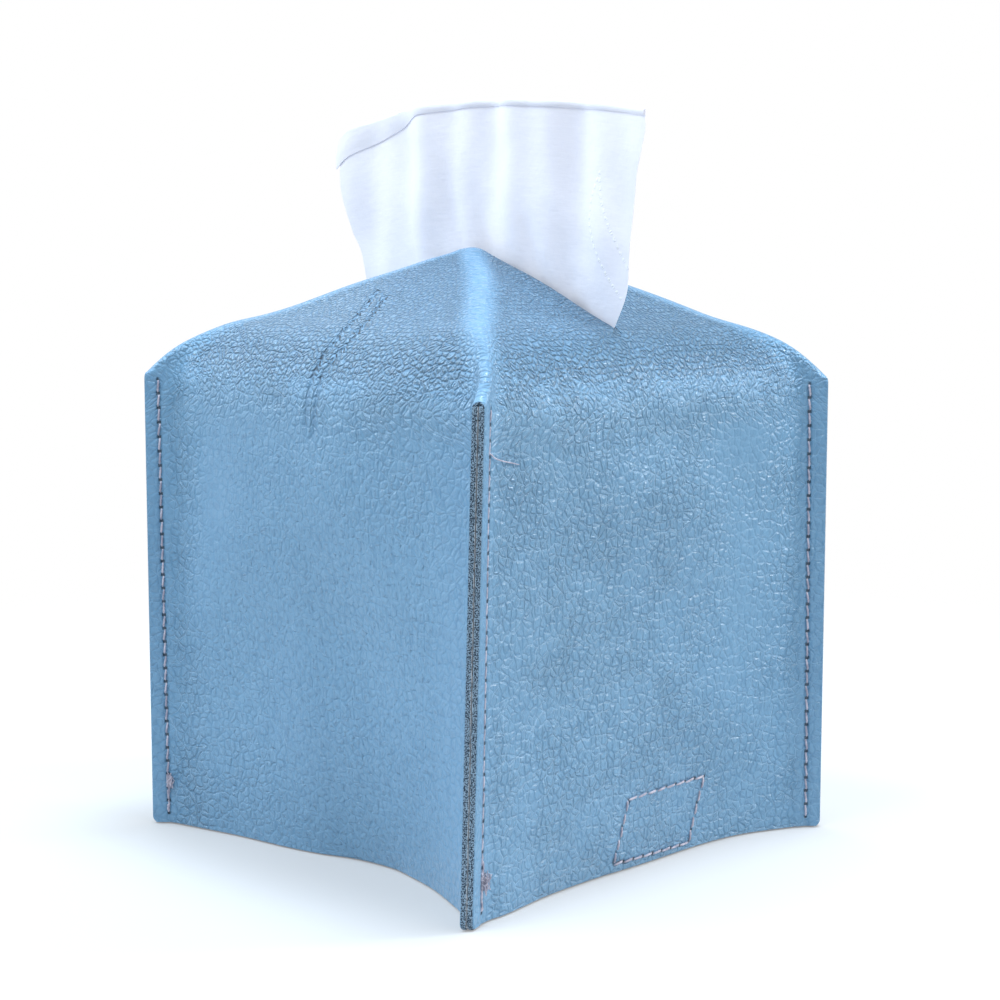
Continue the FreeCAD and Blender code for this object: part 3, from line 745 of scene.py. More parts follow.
BOXED = ("front", "back")
BOX_CORNERS = [(-8.5, 2.4), (20.6, 1.7), (24.6, 18.2), (-4.6, 17.8)]
BOX_STITCHES = (8, 5, 8, 5)


def box_path(panel):
    """Corners of the stitched box on a wall, along and up, and its stitches per side.

    The box on the back wall is turned round and sits higher by the belt's gap.
    """
    if panel == "front":
        return BOX_CORNERS, BOX_STITCHES
    lift = (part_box("anchor_stitch_back")[0].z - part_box("anchor_stitch_front")[0].z) / MM
    return [(-x, z + lift) for x, z in BOX_CORNERS], BOX_STITCHES


# Soft ovals where the walls' grain is weaker or stronger: share, middle and reach, along the wall and up
FRONT_CALM = ((0.5, (34, 66), (11, 40)), (0.45, (34, 104), (16, 8)))
LEFT_GRAIN = ((0.25, (30, 104), (26, 16)), (0.3, (-40, 20), (24, 26)))
LEFT_DENT = ((1.0, (-38, 86), (9, 14)),)

# The left wall's grain: its least, its share over the wall and near the corner, and the streaks' share
LEFT_LEAST, LEFT_SHARE, LEFT_CORNER, LEFT_STREAKS = 0.06, 0.3, 0.5, 0.9
FRONT_LOSS = 0.12
DENT_LOSS = {"grain": 0.25, "streaks": 0.7}
FLANGE_GRAIN = (0.5, 5.0)
WALL_GRAIN_BELOW = (116.0, -12.0)
LEFT_CORNER_PAST = (-40.0, -10.0)
STREAKS_ALONG = (50.0, -12.0)


def patches(u, z, ovals):
    """Sum of soft ovals."""
    total = 0.0
    for share, middle, reach in ovals:
        off = ((u - middle[0]) / reach[0]) ** 2 + ((z - middle[1]) / reach[1]) ** 2
        total = total + share * np.exp(-off)
    return total


# Two fold lines pressed into the left roof, along the panel and down the sheet from the crown
FOLD_WIDE = 0.7
FOLD_LINES = {
    "left": [
        [(-9, 30), (-4, 40), (-0.4, 48), (1, 54), (0, 60), (0, 71), (1, 80)],
        [(-3, 33), (2.5, 43), (6.5, 53), (4.3, 60), (3, 66), (3.4, 78)],
    ]
}


def skin_strength(panel, u, z, beside, c, length):
    """Strength of pebbles, streaks and fold lines over the sheet."""
    least, reach = FLANGE_GRAIN
    off_fold = np.where(z > SEAM_TOP, c - 1.0, beside + 1.0)
    pebble = least + (1.0 - least) * smooth(off_fold / reach)
    streak, fold = 0.0 * u, 0.0 * u
    on_wall = ease(z, *WALL_GRAIN_BELOW)
    if panel == "front":
        pebble = pebble * (1.0 - on_wall * (FRONT_LOSS + patches(u, z, FRONT_CALM)))
    if panel == "left":
        dent = patches(u, z, LEFT_DENT)
        kept = LEFT_SHARE + LEFT_CORNER * ease(u, *LEFT_CORNER_PAST)
        kept = kept + patches(u, z, LEFT_GRAIN) - DENT_LOSS["grain"] * dent
        pebble = pebble * (1.0 - on_wall * (1.0 - np.clip(kept, LEFT_LEAST, 1.0)))
        streak = on_wall * ease(np.abs(u), *STREAKS_ALONG) * (LEFT_STREAKS - DENT_LOSS["streaks"] * dent)
    for line in FOLD_LINES.get(panel, []):
        gap, _ = near_line(u, length, line)
        fold = np.maximum(fold, np.exp(-((gap / FOLD_WIDE) ** 2)))
    return np.stack([pebble, streak, fold], axis=-1)


def shell_looks(panel, side, h, z, f, lateral):
    """Attributes of outer points: place on the flat sheet, place by the stitches, and grain."""
    length = sheet_length(h, z)
    flat = to_world(panel, side * lateral, length, 0.0 * z) * MM
    flat[..., 2] = ease(z, *BIG_GRAIN_BELOW)
    s, c = section(h, z, f)
    u = side * (s - c) / ROOT2
    skin = skin_strength(panel, u, z, ROOT2 * h - s, c, length)
    off_line = np.abs(s - (TIP - at_corner("inset", panel, side, z)))
    off_line = off_line + 6.0 * smooth((z - SEAM_HEAD) / 2.0) + 6.0 * smooth((SEAM_FOOT - z) / 2.0)
    count = (z - SEAM_FOOT) / PITCH
    if panel in BOXED:
        corners, counts = box_path(panel)
        gap, along = near_line(u, z, [*corners, corners[0]], counts)
        count = np.where(gap < off_line, along, count)
        off_line = np.minimum(gap, off_line)
    seam = np.stack([np.minimum(off_line, FAR_OFF) * MM, count, 0.0 * z], axis=-1)
    return flat, seam, skin


def lateral_lengths(h, z, f):
    """Length along the leather from mid-panel, eased to the flat sheet's own where the corner is folded."""
    s, c = section(h, z, f, False)
    u, n = (s - c) / ROOT2, (s + c) / ROOT2
    step = np.hypot(np.diff(u, axis=1), np.diff(n, axis=1))
    run = np.concatenate([np.zeros((len(u), 1)), np.cumsum(step, axis=1)], axis=1)
    full = np.maximum(run[:, -1:], 1e-6)
    share = smooth((z - FOLDED_FROM) / (SEAM_TOP - FOLDED_FROM))
    return run * (1.0 + share * (sheet_length(h, z) / full - 1.0))


def crown_panel(i, j):
    """Panel that a point of the crown's grid belongs to."""
    if abs(j) >= abs(i):
        return "front" if j <= 0 else "back"
    return "right" if i > 0 else "left"


def crown_faces(grid):
    """Faces of the crown's grid, with the squares on its ridges cut along them."""
    faces = []
    for i in range(-COLUMNS, COLUMNS):
        lip = 1 if i >= 0 else -1
        for j in range(-COLUMNS, COLUMNS):
            a, b = grid[i, j, lip], grid[i + 1, j, lip]
            c, d = grid[i + 1, j + 1, lip], grid[i, j + 1, lip]
            if i == j:
                faces.extend([(a, b, c), (a, c, d)])
            elif i == -j - 1:
                faces.extend([(a, b, d), (b, c, d)])
            else:
                faces.append((a, b, c, d))
    return faces


def inner_face(bares, points, perps, faces):
    """Points one leather thickness in, never through the corner's middle plane."""
    mesh = bpy.data.meshes.new("bare_shell")
    mesh.from_pydata(bares.tolist(), [], faces)
    normal = np.zeros(len(bares) * 3)
    mesh.vertex_normals.foreach_get("vector", normal)
    bpy.data.meshes.remove(mesh)
    inner = bares - THICK * normal.reshape(-1, 3)
    apart = (inner * perps).sum(axis=1)
    room = np.minimum((bares * perps).sum(axis=1), INNER_CLEAR)
    return inner + np.maximum(room - apart, 0.0)[:, None] * perps + (points - bares)


def build_shell():
    """The leather: four walls that run into two-ply corner flanges, and the crown with its slot."""
    levels = shell_levels()
    rows = len(levels)
    fold_row = int(np.argmax(levels > SEAM_TOP - 1e-6))
    wide = 2 * COLUMNS + 1
    bares, points, flats, seams, skins, perps = [], [], [], [], [], []

    def add(panel, side, h, z, f, lateral):
        bares.append(bare(panel, side, h, z, f).reshape(-1, 3))
        points.append(place(panel, side, h, z, f).reshape(-1, 3))
        looks = shell_looks(panel, side, h, z, f, lateral)
        for kept, values in zip((flats, seams, skins), looks):
            kept.append(values.reshape(-1, 3))
        perp = to_world(panel, -side / ROOT2, 0.0 * side + 1 / ROOT2, 0.0 * side)
        perps.append(perp.reshape(-1, 3))

    # Walls and shoulders, row by row from the foot
    column = np.arange(-COLUMNS, COLUMNS + 1)
    side = np.where(column < 0, -1.0, 1.0)[None, :] + np.zeros((rows, 1))
    z = levels[:, None] + 0.0 * side
    h = half_width(z)
    f = spread(np.abs(column)[None, :] / COLUMNS, h)
    half_lateral = lateral_lengths(h[:, COLUMNS:], z[:, COLUMNS:], f[:, COLUMNS:])
    lateral = np.concatenate([half_lateral[:, :0:-1], half_lateral], axis=1)
    for panel in PANELS:
        add(panel, side, h, z, f, lateral)
    wall = np.arange(4 * rows * wide).reshape(4, rows, wide)
    for k in range(4):
        wall[k, fold_row:, -1] = wall[(k + 1) % 4, fold_row:, 0]

    # Crown, as a grid of square rings, with both lips of the slot
    last = int(SLOT_HALF / GRID_HALF * COLUMNS)
    members = {panel: [] for panel in PANELS}
    for i in range(-COLUMNS, COLUMNS + 1):
        for j in range(-COLUMNS, COLUMNS + 1):
            lips = (-1, 1) if i == 0 and abs(j) < last else (-1,)
            members[crown_panel(i, j)].extend((i, j, lip) for lip in lips)
    grid, number = {}, 4 * rows * wide
    for panel, keys in members.items():
        i, j, lip = np.array(keys).T
        ring = np.maximum(np.abs(i), np.abs(j))
        along = i * ACROSS[panel][0] + j * ACROSS[panel][1]
        middle = lip * ACROSS[panel][0] if ACROSS[panel][0] else 1.0 + 0.0 * lip
        h = GRID_HALF * ring / COLUMNS
        z = roof_height(h)
        f = spread(np.abs(along) / np.maximum(ring, 1), h)
        add(panel, np.where(along == 0, middle, np.sign(along)) * 1.0, h, z, f, f * sheet_length(h, z))
        grid.update(zip(keys, range(number, number + len(keys))))
        number += len(keys)
    for i in range(-COLUMNS, COLUMNS + 1):
        for j in range(-COLUMNS, COLUMNS + 1):
            grid.setdefault((i, j, 1), grid[i, j, -1])
    last_ring = [[(c, -COLUMNS), (COLUMNS, c), (-c, COLUMNS), (-COLUMNS, -c)] for c in column]
    top = np.array([[grid[i, j, 1] for i, j in spots] for spots in last_ring]).T
    wall = np.concatenate([wall, top[:, None]], axis=1)

    faces = []
    for k in range(4):
        faces.extend(quads(wall[k]))
    faces.extend(crown_faces(grid))

    # Drop the numbers that the folds have joined
    used = np.unique(np.concatenate([np.ravel(face) for face in faces]))
    renumber = dict(zip(used.tolist(), range(len(used))))
    faces = [tuple(renumber[int(v)] for v in face) for face in faces]
    gathered = (bares, points, flats, seams, skins, perps)
    bares, points, flats, seams, skins, perps = (np.concatenate(x)[used] for x in gathered)

    inner = inner_face(bares, points, perps, faces)

    # Cut edges: foot, corner edges and slot
    edges, inside = [], {}

    def border(chain, neighbours):
        chain = [renumber[int(v)] for v in chain]
        for number, near in zip(chain, neighbours):
            inside.setdefault(number, []).append(renumber[int(near)])
        edges.extend(zip(chain, chain[1:]))

    for k in range(4):
        border(wall[k, 0], wall[k, 1])
        border(wall[k, : fold_row + 1, -1], wall[k, : fold_row + 1, -2])
        border(wall[k, : fold_row + 1, 0], wall[k, : fold_row + 1, 1])
    slot = range(-last, last + 1)
    for lip in (-1, 1):
        border([grid[0, j, lip] for j in slot], [grid[lip, j, lip] for j in slot])
    materials, looks = [LEATHER, CLOTH, EDGE], (flats, seams, skins)
    return closed_sheet("cover_shell", points, inner, faces, edges, inside, materials, looks)


# Thread
def flowing(knots, count):
    """Points along a smooth line through a few knots."""
    knots = np.asarray(knots, float)
    padded = np.concatenate([2 * knots[:1] - knots[1:2], knots, 2 * knots[-1:] - knots[-2:-1]])
    at = np.linspace(0, len(knots) - 1 - 1e-6, count)
    i = at.astype(int)
    t = (at - i)[:, None]
    a, b, c, d = (padded[i + k] for k in range(4))
    return 0.5 * (2 * b + (c - a) * t + (2 * a - 5 * b + 4 * c - d) * t**2 + (3 * b - a - 3 * c + d) * t**3)


class Threads:
    """Twisted thread pieces gathered into one mesh."""

    SIDES = 10
    LAY = 1.1
    LOBES = 0.15
    END_GIRTH = 0.55

    def __init__(self):
        self.points = []
        self.faces = []

    def run(self, knots, radius, count, taper=0.0):
        """A two-ply thread along smooth knots, closed at both ends."""
        path = flowing(knots, count)
        tangent = unit(np.gradient(path, axis=0))
        up = np.array([0.31, 0.47, 0.83])
        length = np.concatenate([[0.0], np.cumsum(np.linalg.norm(np.diff(path, axis=0), axis=1))])
        angle = np.arange(self.SIDES) * 2 * math.pi / self.SIDES
        swell = 1.0 - taper * np.abs(np.linspace(-1, 1, count)) ** 2
        swell[[0, -1]] *= self.END_GIRTH
        start = len(self.points)
        for k in range(count):
            first = unit(np.cross(tangent[k], up))
            up = np.cross(first, tangent[k])
            lobes = self.LOBES * np.cos(2 * angle - 2 * math.pi * length[k] / self.LAY)
            girth = (radius * swell[k] * (1 + lobes))[:, None]
            ring = np.cos(angle)[:, None] * first + np.sin(angle)[:, None] * up
            self.points.extend(path[k] + girth * ring)
        for k in range(start, start + (count - 1) * self.SIDES, self.SIDES):
            for j in range(self.SIDES):
                a, b = k + j, k + (j + 1) % self.SIDES
                self.faces.append((a, b, b + self.SIDES, a + self.SIDES))
        last = start + (count - 1) * self.SIDES
        self.faces.append(tuple(range(start + self.SIDES - 1, start - 1, -1)))
        self.faces.append(tuple(range(last, last + self.SIDES)))

    def stitch(self, a, b, normal, rise, slant, radius=THREAD_R):
        """One stitch from hole a to hole b over a surface."""
        along = unit(b - a)
        beside = np.cross(normal, along) * slant
        knots = [
            a + along * 0.3 - normal * 0.7 - beside,
            a + along * 0.5 - normal * 0.1 - beside,
            a * 0.7 + b * 0.3 + normal * (rise * 0.8) - beside * 0.6,
            a * 0.3 + b * 0.7 + normal * (rise * 0.8) + beside * 0.6,
            b - along * 0.5 - normal * 0.1 + beside,
            b - along * 0.3 - normal * 0.7 + beside,
        ]
        self.run(knots, radius, 17, 0.35)

    def piece(self, name):
        return make_piece(name, self.points, self.faces, [THREAD], [0] * len(self.faces), sharp=80.0)


def scatter(rng, mean, spread):
    return mean + spread * rng.standard_normal()


def stitch_ends(corners, counts):
    """Both ends of each stitch round a closed path."""
    corners = np.array(corners, float)
    for start, end, number in zip(corners, np.roll(corners, -1, axis=0), counts):
        for i in range(number):
            yield start + (end - start) * i / number, start + (end - start) * (i + 1) / number


def seam_locator(panel, side):
    """Surface round a corner's stitch line: by distance off the line, and height."""

    def locate(off_line, z):
        z = np.asarray(z, float)
        side_array = np.full(z.shape, float(side))
        h = half_width(z)
        s = TIP - at_corner("inset", panel, side_array, z) + off_line
        return place(panel, side_array, h, z, fraction_at(h, z, s))

    return locate


# Extra thread at some corners: heights of the dense lock stitches, and where a lump of thread sits
LOCKED = {"front_left": (2.6, 16.0, 9.6), "back_left": (3.4, 15.0, 11.4)}
# Loose tails: panel, height, reach off the line at the start and the end, and climb
TAILS = {
    "front_left": ("front", 105.0, (-1.6, -8.0), -3.3),
    "back_left": ("left", 104.0, (0.6, 2.4), -3.4),
}
TAIL_R = 0.13
TAIL_LIFTS = ((0.0, -0.4), (0.1, 0.3), (0.5, 0.55), (1.0, 0.35))
SUNK = {"front_left": 0.02}
SUNK_GIRTH = 0.8


def sew_seam(corner):
    """Stitches on both plies of a corner's flange, with its lock stitches and loose tail."""
    threads = Threads()
    rng = np.random.default_rng(sum(map(ord, corner)))
    k = CORNER_RING.index(corner)
    sides = {PANELS[k - 1]: 1, PANELS[k]: -1}
    radius = THREAD_R * (SUNK_GIRTH if corner in SUNK else 1.0)
    for panel, side in sides.items():
        locate = seam_locator(panel, side)
        for k in range(int((SEAM_HEAD - SEAM_FOOT) / PITCH)):
            a, out_a = on_surface(locate, 0.0, SEAM_FOOT + k * PITCH)
            b, out_b = on_surface(locate, 0.0, SEAM_FOOT + (k + 1) * PITCH)
            slant = scatter(rng, *SEAM_SLANT)
            rise = scatter(rng, SUNK.get(corner, SEAM_RISE[0]), SEAM_RISE[1])
            threads.stitch(a, b, (out_a + out_b) / 2, rise, slant * side, radius)
        if corner in LOCKED:
            lock_stitches(threads, locate, rng, *LOCKED[corner])
    if corner in TAILS:
        panel, z, off, climb = TAILS[corner]
        locate = seam_locator(panel, sides[panel])
        knots = []
        for share, lift in TAIL_LIFTS:
            reach = off[0] * share + (off[1] - off[0]) * share**2
            point, out = on_surface(locate, reach, z + climb * share)
            knots.append(point + out * lift)
        threads.run(knots, TAIL_R, 16)
    return threads.piece("seam_stitches_" + corner)


# Lock stitches: how long they are, and how far they stray off the line and skew
LOCK_LONG = (2.0, 1.2)
LOCK_OVERLAP = 0.8
LOCK_END = 2.4
LOCK_SLANT = 0.1
LOCK_STRAY = 0.3
LOCK_SKEW = 0.25
LOCK_R = 0.2
# Lock stitches in two layers: the second one's shift, and the rise of each
LOCK_SHIFT = 0.9
LOCK_RISE = (0.16, 0.3)
# Lump of spare thread: runs, knots and radius, then how far the knots spread and rise
LUMP_RUNS, LUMP_KNOTS, LUMP_R = 20, 6, 0.085
LUMP_OFF = (-0.5, 0.55)
LUMP_TALL = 1.1
LUMP_LIFT = (0.2, 1.25)


def lock_stitches(threads, locate, rng, low, high, lump):
    """Stitches sewn back over the seam's foot, with a lump of spare thread."""
    for layer, rise in enumerate(LOCK_RISE):
        z = low + LOCK_SHIFT * layer
        while z + LOCK_END < high:
            step = LOCK_LONG[0] + rng.uniform(0, LOCK_LONG[1])
            off = rng.uniform(-LOCK_STRAY, LOCK_STRAY)
            a, out = on_surface(locate, off, z)
            b, _ = on_surface(locate, off + rng.uniform(-LOCK_SKEW, LOCK_SKEW), min(z + step, high))
            threads.stitch(a, b, out, rise, LOCK_SLANT, LOCK_R)
            z += step * LOCK_OVERLAP
    for _ in range(LUMP_RUNS):
        knots = []
        for k in range(LUMP_KNOTS):
            spot, out = on_surface(locate, rng.normal(*LUMP_OFF), lump + rng.normal(0, LUMP_TALL))
            lift = 0.0 if k in (0, LUMP_KNOTS - 1) else rng.uniform(*LUMP_LIFT)
            knots.append(spot + out * lift)
        threads.run(knots, LUMP_R, 22)


def sew_box(name, panel):
    """Rectangle of stitches that holds a belt end, outside the wall and inside the belt."""
    threads = Threads()
    rng = np.random.default_rng(len(name) + 3)
    through = 2 * THICK + BELT_SEAT

    def locate(u, z):
        return wall_point(panel, np.asarray(u, float), np.asarray(z, float))

    for first, second in stitch_ends(*box_path(panel)):
        a, out_a = on_surface(locate, *first)
        b, out_b = on_surface(locate, *second)
        slant = scatter(rng, *BOX_SLANT)
        threads.stitch(a, b, out_a, BOX_RISE[0], slant)
        threads.stitch(a - out_a * through, b - out_b * through, -out_a, BOX_RISE[1], slant)
    return threads.piece(name)


# Belt
BEND = 1.6
BELT_SEAT = 0.12
BELT_CORNER = 6.0
SEWN_CORNER = 2.1
BELT_EVEN = 10.0
BELT_GRAIN = 0.8
BLEND_ABOVE = 0.6
ROUND_END = np.radians([15, 30, 45, 60, 75, 88])


def belt_strip(name, panel, strap_node, anchor_node):
    """A belt half: sewn end up the inner wall, bend at the foot, and the free run across the opening."""
    low, high = box_mm(strap_node)
    top = box_mm(anchor_node)[1][2]
    thick = high[2] - low[2]
    level = (low[2] + high[2]) / 2
    foot = level + BEND
    body, sign, end = ("strap", -1.0, -high[1]) if panel == "front" else ("tab", 1.0, low[1])
    centre, half = (low[0] + high[0]) / 2, (high[0] - low[0]) / 2
    across = np.sin(np.linspace(-math.pi / 2, math.pi / 2, 25))
    rows, length = [], []

    def wall_inside(x, z):
        outside = wall_point(panel, x * ACROSS[panel][0], z + 0.0 * x)
        return np.abs(outside[..., 1]) - THICK - BELT_SEAT - thick / 2

    def narrowed(left, radius):
        """Places across the belt, with this length left before its rounded end."""
        near = radius - min(left, radius)
        return centre + across * (half - radius + math.sqrt(max(radius**2 - near**2, 0.0)))

    def add_row(x, n, z, run):
        rows.append(np.stack([x, sign * n, z + 0.0 * x], axis=-1))
        length.append(run)

    for z in np.linspace(top, foot, 12)[:-1]:
        x = narrowed(top - z, SEWN_CORNER)
        add_row(x, wall_inside(x, z), z, top - z)
    x = centre + across * half
    start = wall_inside(x, foot) - BEND
    for t in np.linspace(0, math.pi / 2, 9):
        add_row(x, start + BEND * math.cos(t), foot - BEND * math.sin(t), top - foot + BEND * t)
    bent = top - foot + BEND * math.pi / 2
    root = float(np.mean(start))
    span = root - end
    straight = np.linspace(0, span - BELT_CORNER, 34)[1:]
    for q in [*straight, *(span - BELT_CORNER * (1 - np.sin(ROUND_END)))]:
        x = narrowed(span - q, BELT_CORNER)
        start = wall_inside(x, foot) - BEND
        share = np.clip(1 - q / BELT_EVEN, 0.0, 1.0)
        add_row(x, root - q + (start - root) * share, level, bent + q)
    middle = np.array(rows)
    flat = np.zeros(middle.shape)
    flat[..., 0] = middle[..., 0] * MM
    flat[..., 1] = np.array(length)[:, None] * MM
    flat[..., 2] = BELT_GRAIN
    if panel == "back":
        middle, flat = middle[:, ::-1], flat[:, ::-1]
    piece = slab(name, middle, thick, [CLOTH, BELT_LEATHER, EDGE], flat)
    start = (centre * MM, sign * (root + BEND) * MM, (foot + BLEND_ABOVE) * MM)
    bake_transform(piece)
    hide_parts(strap_node, anchor_node)


def add_pile(piece, strands):
    """Joins loose strands to a patch's base."""
    mesh = bpy.data.meshes.new("strands")
    mesh.from_pydata((np.array(strands.points) * MM).tolist(), [], strands.faces)
    mesh.polygons.foreach_set("use_smooth", np.ones(len(mesh.polygons), bool))
    work = bmesh.new()
    work.from_mesh(piece.data)
    work.from_mesh(mesh)
    work.to_mesh(piece.data)
    work.free()
    bpy.data.meshes.remove(mesh)


class Strands(Threads):
    """Fine nylon strands of a fastener."""

    SIDES = 5
    LOBES = 0.0


PAD_BASE = 0.55
PAD_STEP = 1.15
PAD_BARE = (3.2, 3.0)
PAD_WAVES = (0.04, 5.0)
PILE_ROOT = 0.05
PAD_STITCH = {"rise": 0.12, "slant": 0.12, "radius": 0.28}
STITCH_CLEAR = 0.1

# Strands of the two patches, seen from the side: along and up, as shares
HOOK_SHAPE = ((0, 0), (0.02, 0.5), (0.2, 0.95), (0.45, 0.75))
LOOP_SHAPE = ((0, 0), (0.15, 0.8), (0.5, 1.0), (0.85, 0.7), (1.0, 0.0))
LOOP_LONG = 0.95
LOOP_TALL = (0.55, 0.95)
LOOP_STRAY = 0.2
HOOK_R = 0.1
LOOP_R = 0.075


def fastener_pad(name, node, body, material, hooked):
    """Loop patch that faces up, or hook patch that faces down, on a slightly uneven woven base."""
    low, high = box_mm(node)
    base = (high[2] - PAD_BASE, high[2]) if hooked else (low[2], low[2] + PAD_BASE)
    x, y = np.meshgrid(*(np.linspace(low[k], high[k], 22) for k in range(2)))
    z = (base[0] + base[1]) / 2 + PAD_WAVES[0] * ripple(x, y, 31, PAD_WAVES[1])
    middle = np.stack([x, y, z], axis=-1)
    flat = np.stack([x * MM, y * MM, 0.0 * x + 0.5], axis=-1)
    piece = slab(name, middle, base[1] - base[0], [material] * 3, flat)
    strands = Strands()
    rng = np.random.default_rng(41 + hooked)
    room = high[2] - low[2] - PAD_BASE - PILE_ROOT
    for x in np.arange(low[0] + PAD_BARE[0], high[0] - PAD_BARE[1], PAD_STEP):
        for y in np.arange(low[1] + PAD_BARE[0], high[1] - PAD_BARE[1], PAD_STEP):
            if hooked:
                foot = np.array([x, y, base[0] + PILE_ROOT])
                knots = [foot + np.array([0.0, a, -b * room]) for a, b in HOOK_SHAPE]
                strands.run(knots, HOOK_R, 7)
            else:
                stray = rng.normal(0, LOOP_STRAY, 2)
                foot = np.array([x + stray[0], y + stray[1], base[1] - PILE_ROOT])
                turn = rng.uniform(0, 2 * math.pi)
                aim = np.array([math.cos(turn), math.sin(turn), 0.0]) * LOOP_LONG
                tall = room * rng.uniform(*LOOP_TALL)
                knots = [foot + aim * a + np.array([0, 0, b * tall]) for a, b in LOOP_SHAPE]
                strands.run(knots, LOOP_R, 8)
    add_pile(piece, strands)
    dress(piece, body, node)


def sew_pad(name, node, pad_node, belt_node, body):
    """Rectangle of stitches through a patch and its belt half, on both faces."""
    low, high = box_mm(node)
    pad_low, pad_high = box_mm(pad_node)
    belt_low, belt_high = box_mm(belt_node)
    lower, upper = belt_low[2], pad_low[2] + PAD_BASE
    if pad_low[2] < belt_low[2]:
        lower, upper = pad_high[2] - PAD_BASE, belt_high[2]
    inset = THREAD_R + STITCH_CLEAR
    (left, front, _), (right, back, _) = low + inset, high - inset
    corners = np.array([(left, front), (right, front), (right, back), (left, back)])
    sides = np.linalg.norm(np.roll(corners, -1, axis=0) - corners, axis=1)
    threads = Threads()
    for a, b in stitch_ends(corners, [max(2, round(float(side) / PITCH)) for side in sides]):
        for level, up in ((upper, 1.0), (lower, -1.0)):
            ends = np.array([*a, level]), np.array([*b, level])
            threads.stitch(*ends, np.array([0, 0, up]), **PAD_STITCH)
    dress(threads.piece(name), body, node)


# Tissue
TISSUE_FOOT = 112.0
TISSUE_THICK = 0.26
LEFT_EDGE = [
    (112, 33), (130, 44.0), (141.4, 46.6), (149, 49.2), (154, 52.3),
    (166, 56.0), (173, 55.7), (179.3, 57.2),
]
RIGHT_EDGE = [
    (112, -33), (129.4, -44.5), (140.4, -49.2), (153, -50.4), (165, -52.2),
    (172, -54.6), (177, -55.8), (182, -55.6),
]
TOP_EDGE = [
    (-56, 181.0), (-40, 183.2), (-20, 185.0), (2, 186.3), (24, 185.8),
    (40, 183.8), (52, 181.7), (57.2, 179.3),
]
# Waves across the tissue: height, length, phase and tilt, and where the tilt starts
TISSUE_WAVES = ((0.8, 37.0, 0.9, 0.012), (0.4, 15.5, 2.2, 0.0))
TILT_FROM = 150.0
# The turned edge: its lift, its gap behind the sheet and what that gains midway, and its depth along the top
HEM_LIFT = 0.075
HEM_GAP = (0.3, 0.2)
HEM = [(-54, 1.5), (0, 1.6), (22, 2.4), (34, 5.0), (57.2, 8.6)]

# Curved rows of small dots pressed near one edge, along the sheet and up
DOT_STEP = 1.9
DOT_ROWS = [
    [(-40, 167), (-36.5, 161), (-36, 155), (-38.5, 149), (-43, 142), (-48, 136)],
    [(-40, 167), (-40.5, 161), (-43, 155), (-47, 148), (-50, 143)],
]


def tissue_folds(y, z):
    """Sideways waves: held flat by the lips, freer above them."""
    lips = 0.75 * SLOT_GAPE * np.clip(1.0 - (y / (SLOT_HALF - 1.0)) ** 2, 0.02, 1.0)
    free = smooth((z - roof_height(np.minimum(np.abs(y), GRID_HALF)) - 1.0) / 26.0)
    turn = 2 * math.pi
    wave = 0.0
    for tall, long, phase, tilt in TISSUE_WAVES:
        wave = wave + tall * np.sin(y * turn / long + phase + tilt * (z - TILT_FROM))
    wave = wave + 0.22 * np.sin((y - 0.35 * (z - 130)) * turn / 9.0) * (1 - free)
    return wave * (lips * 0.42 + 0.9 * free) + 0.6 * free * ripple(y, z, 77, 24.0)


def build_tissue():
    """Tissue that stands out of the slot, with its top edge turned over and its rows of dots."""
    columns, rows, hem_rows = 161, 100, 12
    t = np.linspace(0.0, 1.0, columns)
    top_y = RIGHT_EDGE[-1][1] + (LEFT_EDGE[-1][1] - RIGHT_EDGE[-1][1]) * t
    top_z = curve(TOP_EDGE, top_y)
    z = TISSUE_FOOT + (top_z - TISSUE_FOOT) * np.linspace(0.0, 1.0, rows)[:, None]
    right, left = curve(RIGHT_EDGE, z), curve(LEFT_EDGE, z)
    y = right + (left - right) * t
    sheet = [*np.stack([tissue_folds(y, z), y, z], axis=-1)]
    # The top edge turns over towards the left panel, deepest at one end
    for share in np.arange(1, hem_rows + 1) / hem_rows:
        lift = HEM_LIFT * math.sin(min(share * 3.0, 1.0) * math.pi)
        hem_z = top_z - curve(HEM, top_y) * share + lift
        back = HEM_GAP[0] + HEM_GAP[1] * math.sin(share * math.pi)
        sheet.append(np.stack([tissue_folds(top_y, hem_z) - back, top_y, hem_z], axis=-1))
    middle = np.array(sheet)
    steps = np.linalg.norm(np.diff(middle, axis=0), axis=2)
    run = np.concatenate([np.zeros((1, columns)), np.cumsum(steps, axis=0)])
    flat = np.stack([(y[-1] + 0.0 * run) * MM, run * MM, 0.0 * run + 0.5], axis=-1)
    off_line, count = np.full(run.shape, FAR_OFF), 0.0 * run
    for line in DOT_ROWS:
        gap, along = near_line(middle[..., 1], middle[..., 2], line)
        count = np.where(gap < off_line, along / DOT_STEP, count)
        off_line = np.minimum(gap, off_line)
    marks = np.stack([off_line * MM, count], axis=-1)
    piece = slab("tissue", middle, TISSUE_THICK, [TISSUE] * 3, flat, marks)
    dress(piece, "tissue", "tissue_sheet")


def build_object():
    """All pieces, with the bodies and solids they belong to."""
    shell = build_shell()
    dress(shell, "cover", "leather_cover")
    for corner in CORNERS:
        dress(sew_seam(corner), "cover", "seam_thread_" + corner)
    for panel in BOXED:
        dress(sew_box("anchor_stitches_" + panel, panel), "cover", "anchor_stitch_" + panel)
    belt_strip("strap_strip", "front", "belt_strap", "belt_anchor_front")
    belt_strip("tab_strip", "back", "belt_tab", "belt_anchor_back")
    fastener_pad("loop_pad", "loop_patch", "strap", LOOPS, False)
    fastener_pad("hook_pad", "hook_patch", "tab", HOOKS, True)
    sew_pad("loop_pad_stitches", "loop_patch_stitch", "loop_patch", "belt_strap", "strap")
    sew_pad("hook_pad_stitches", "hook_patch_stitch", "hook_patch", "belt_tab", "tab")
    build_tissue()


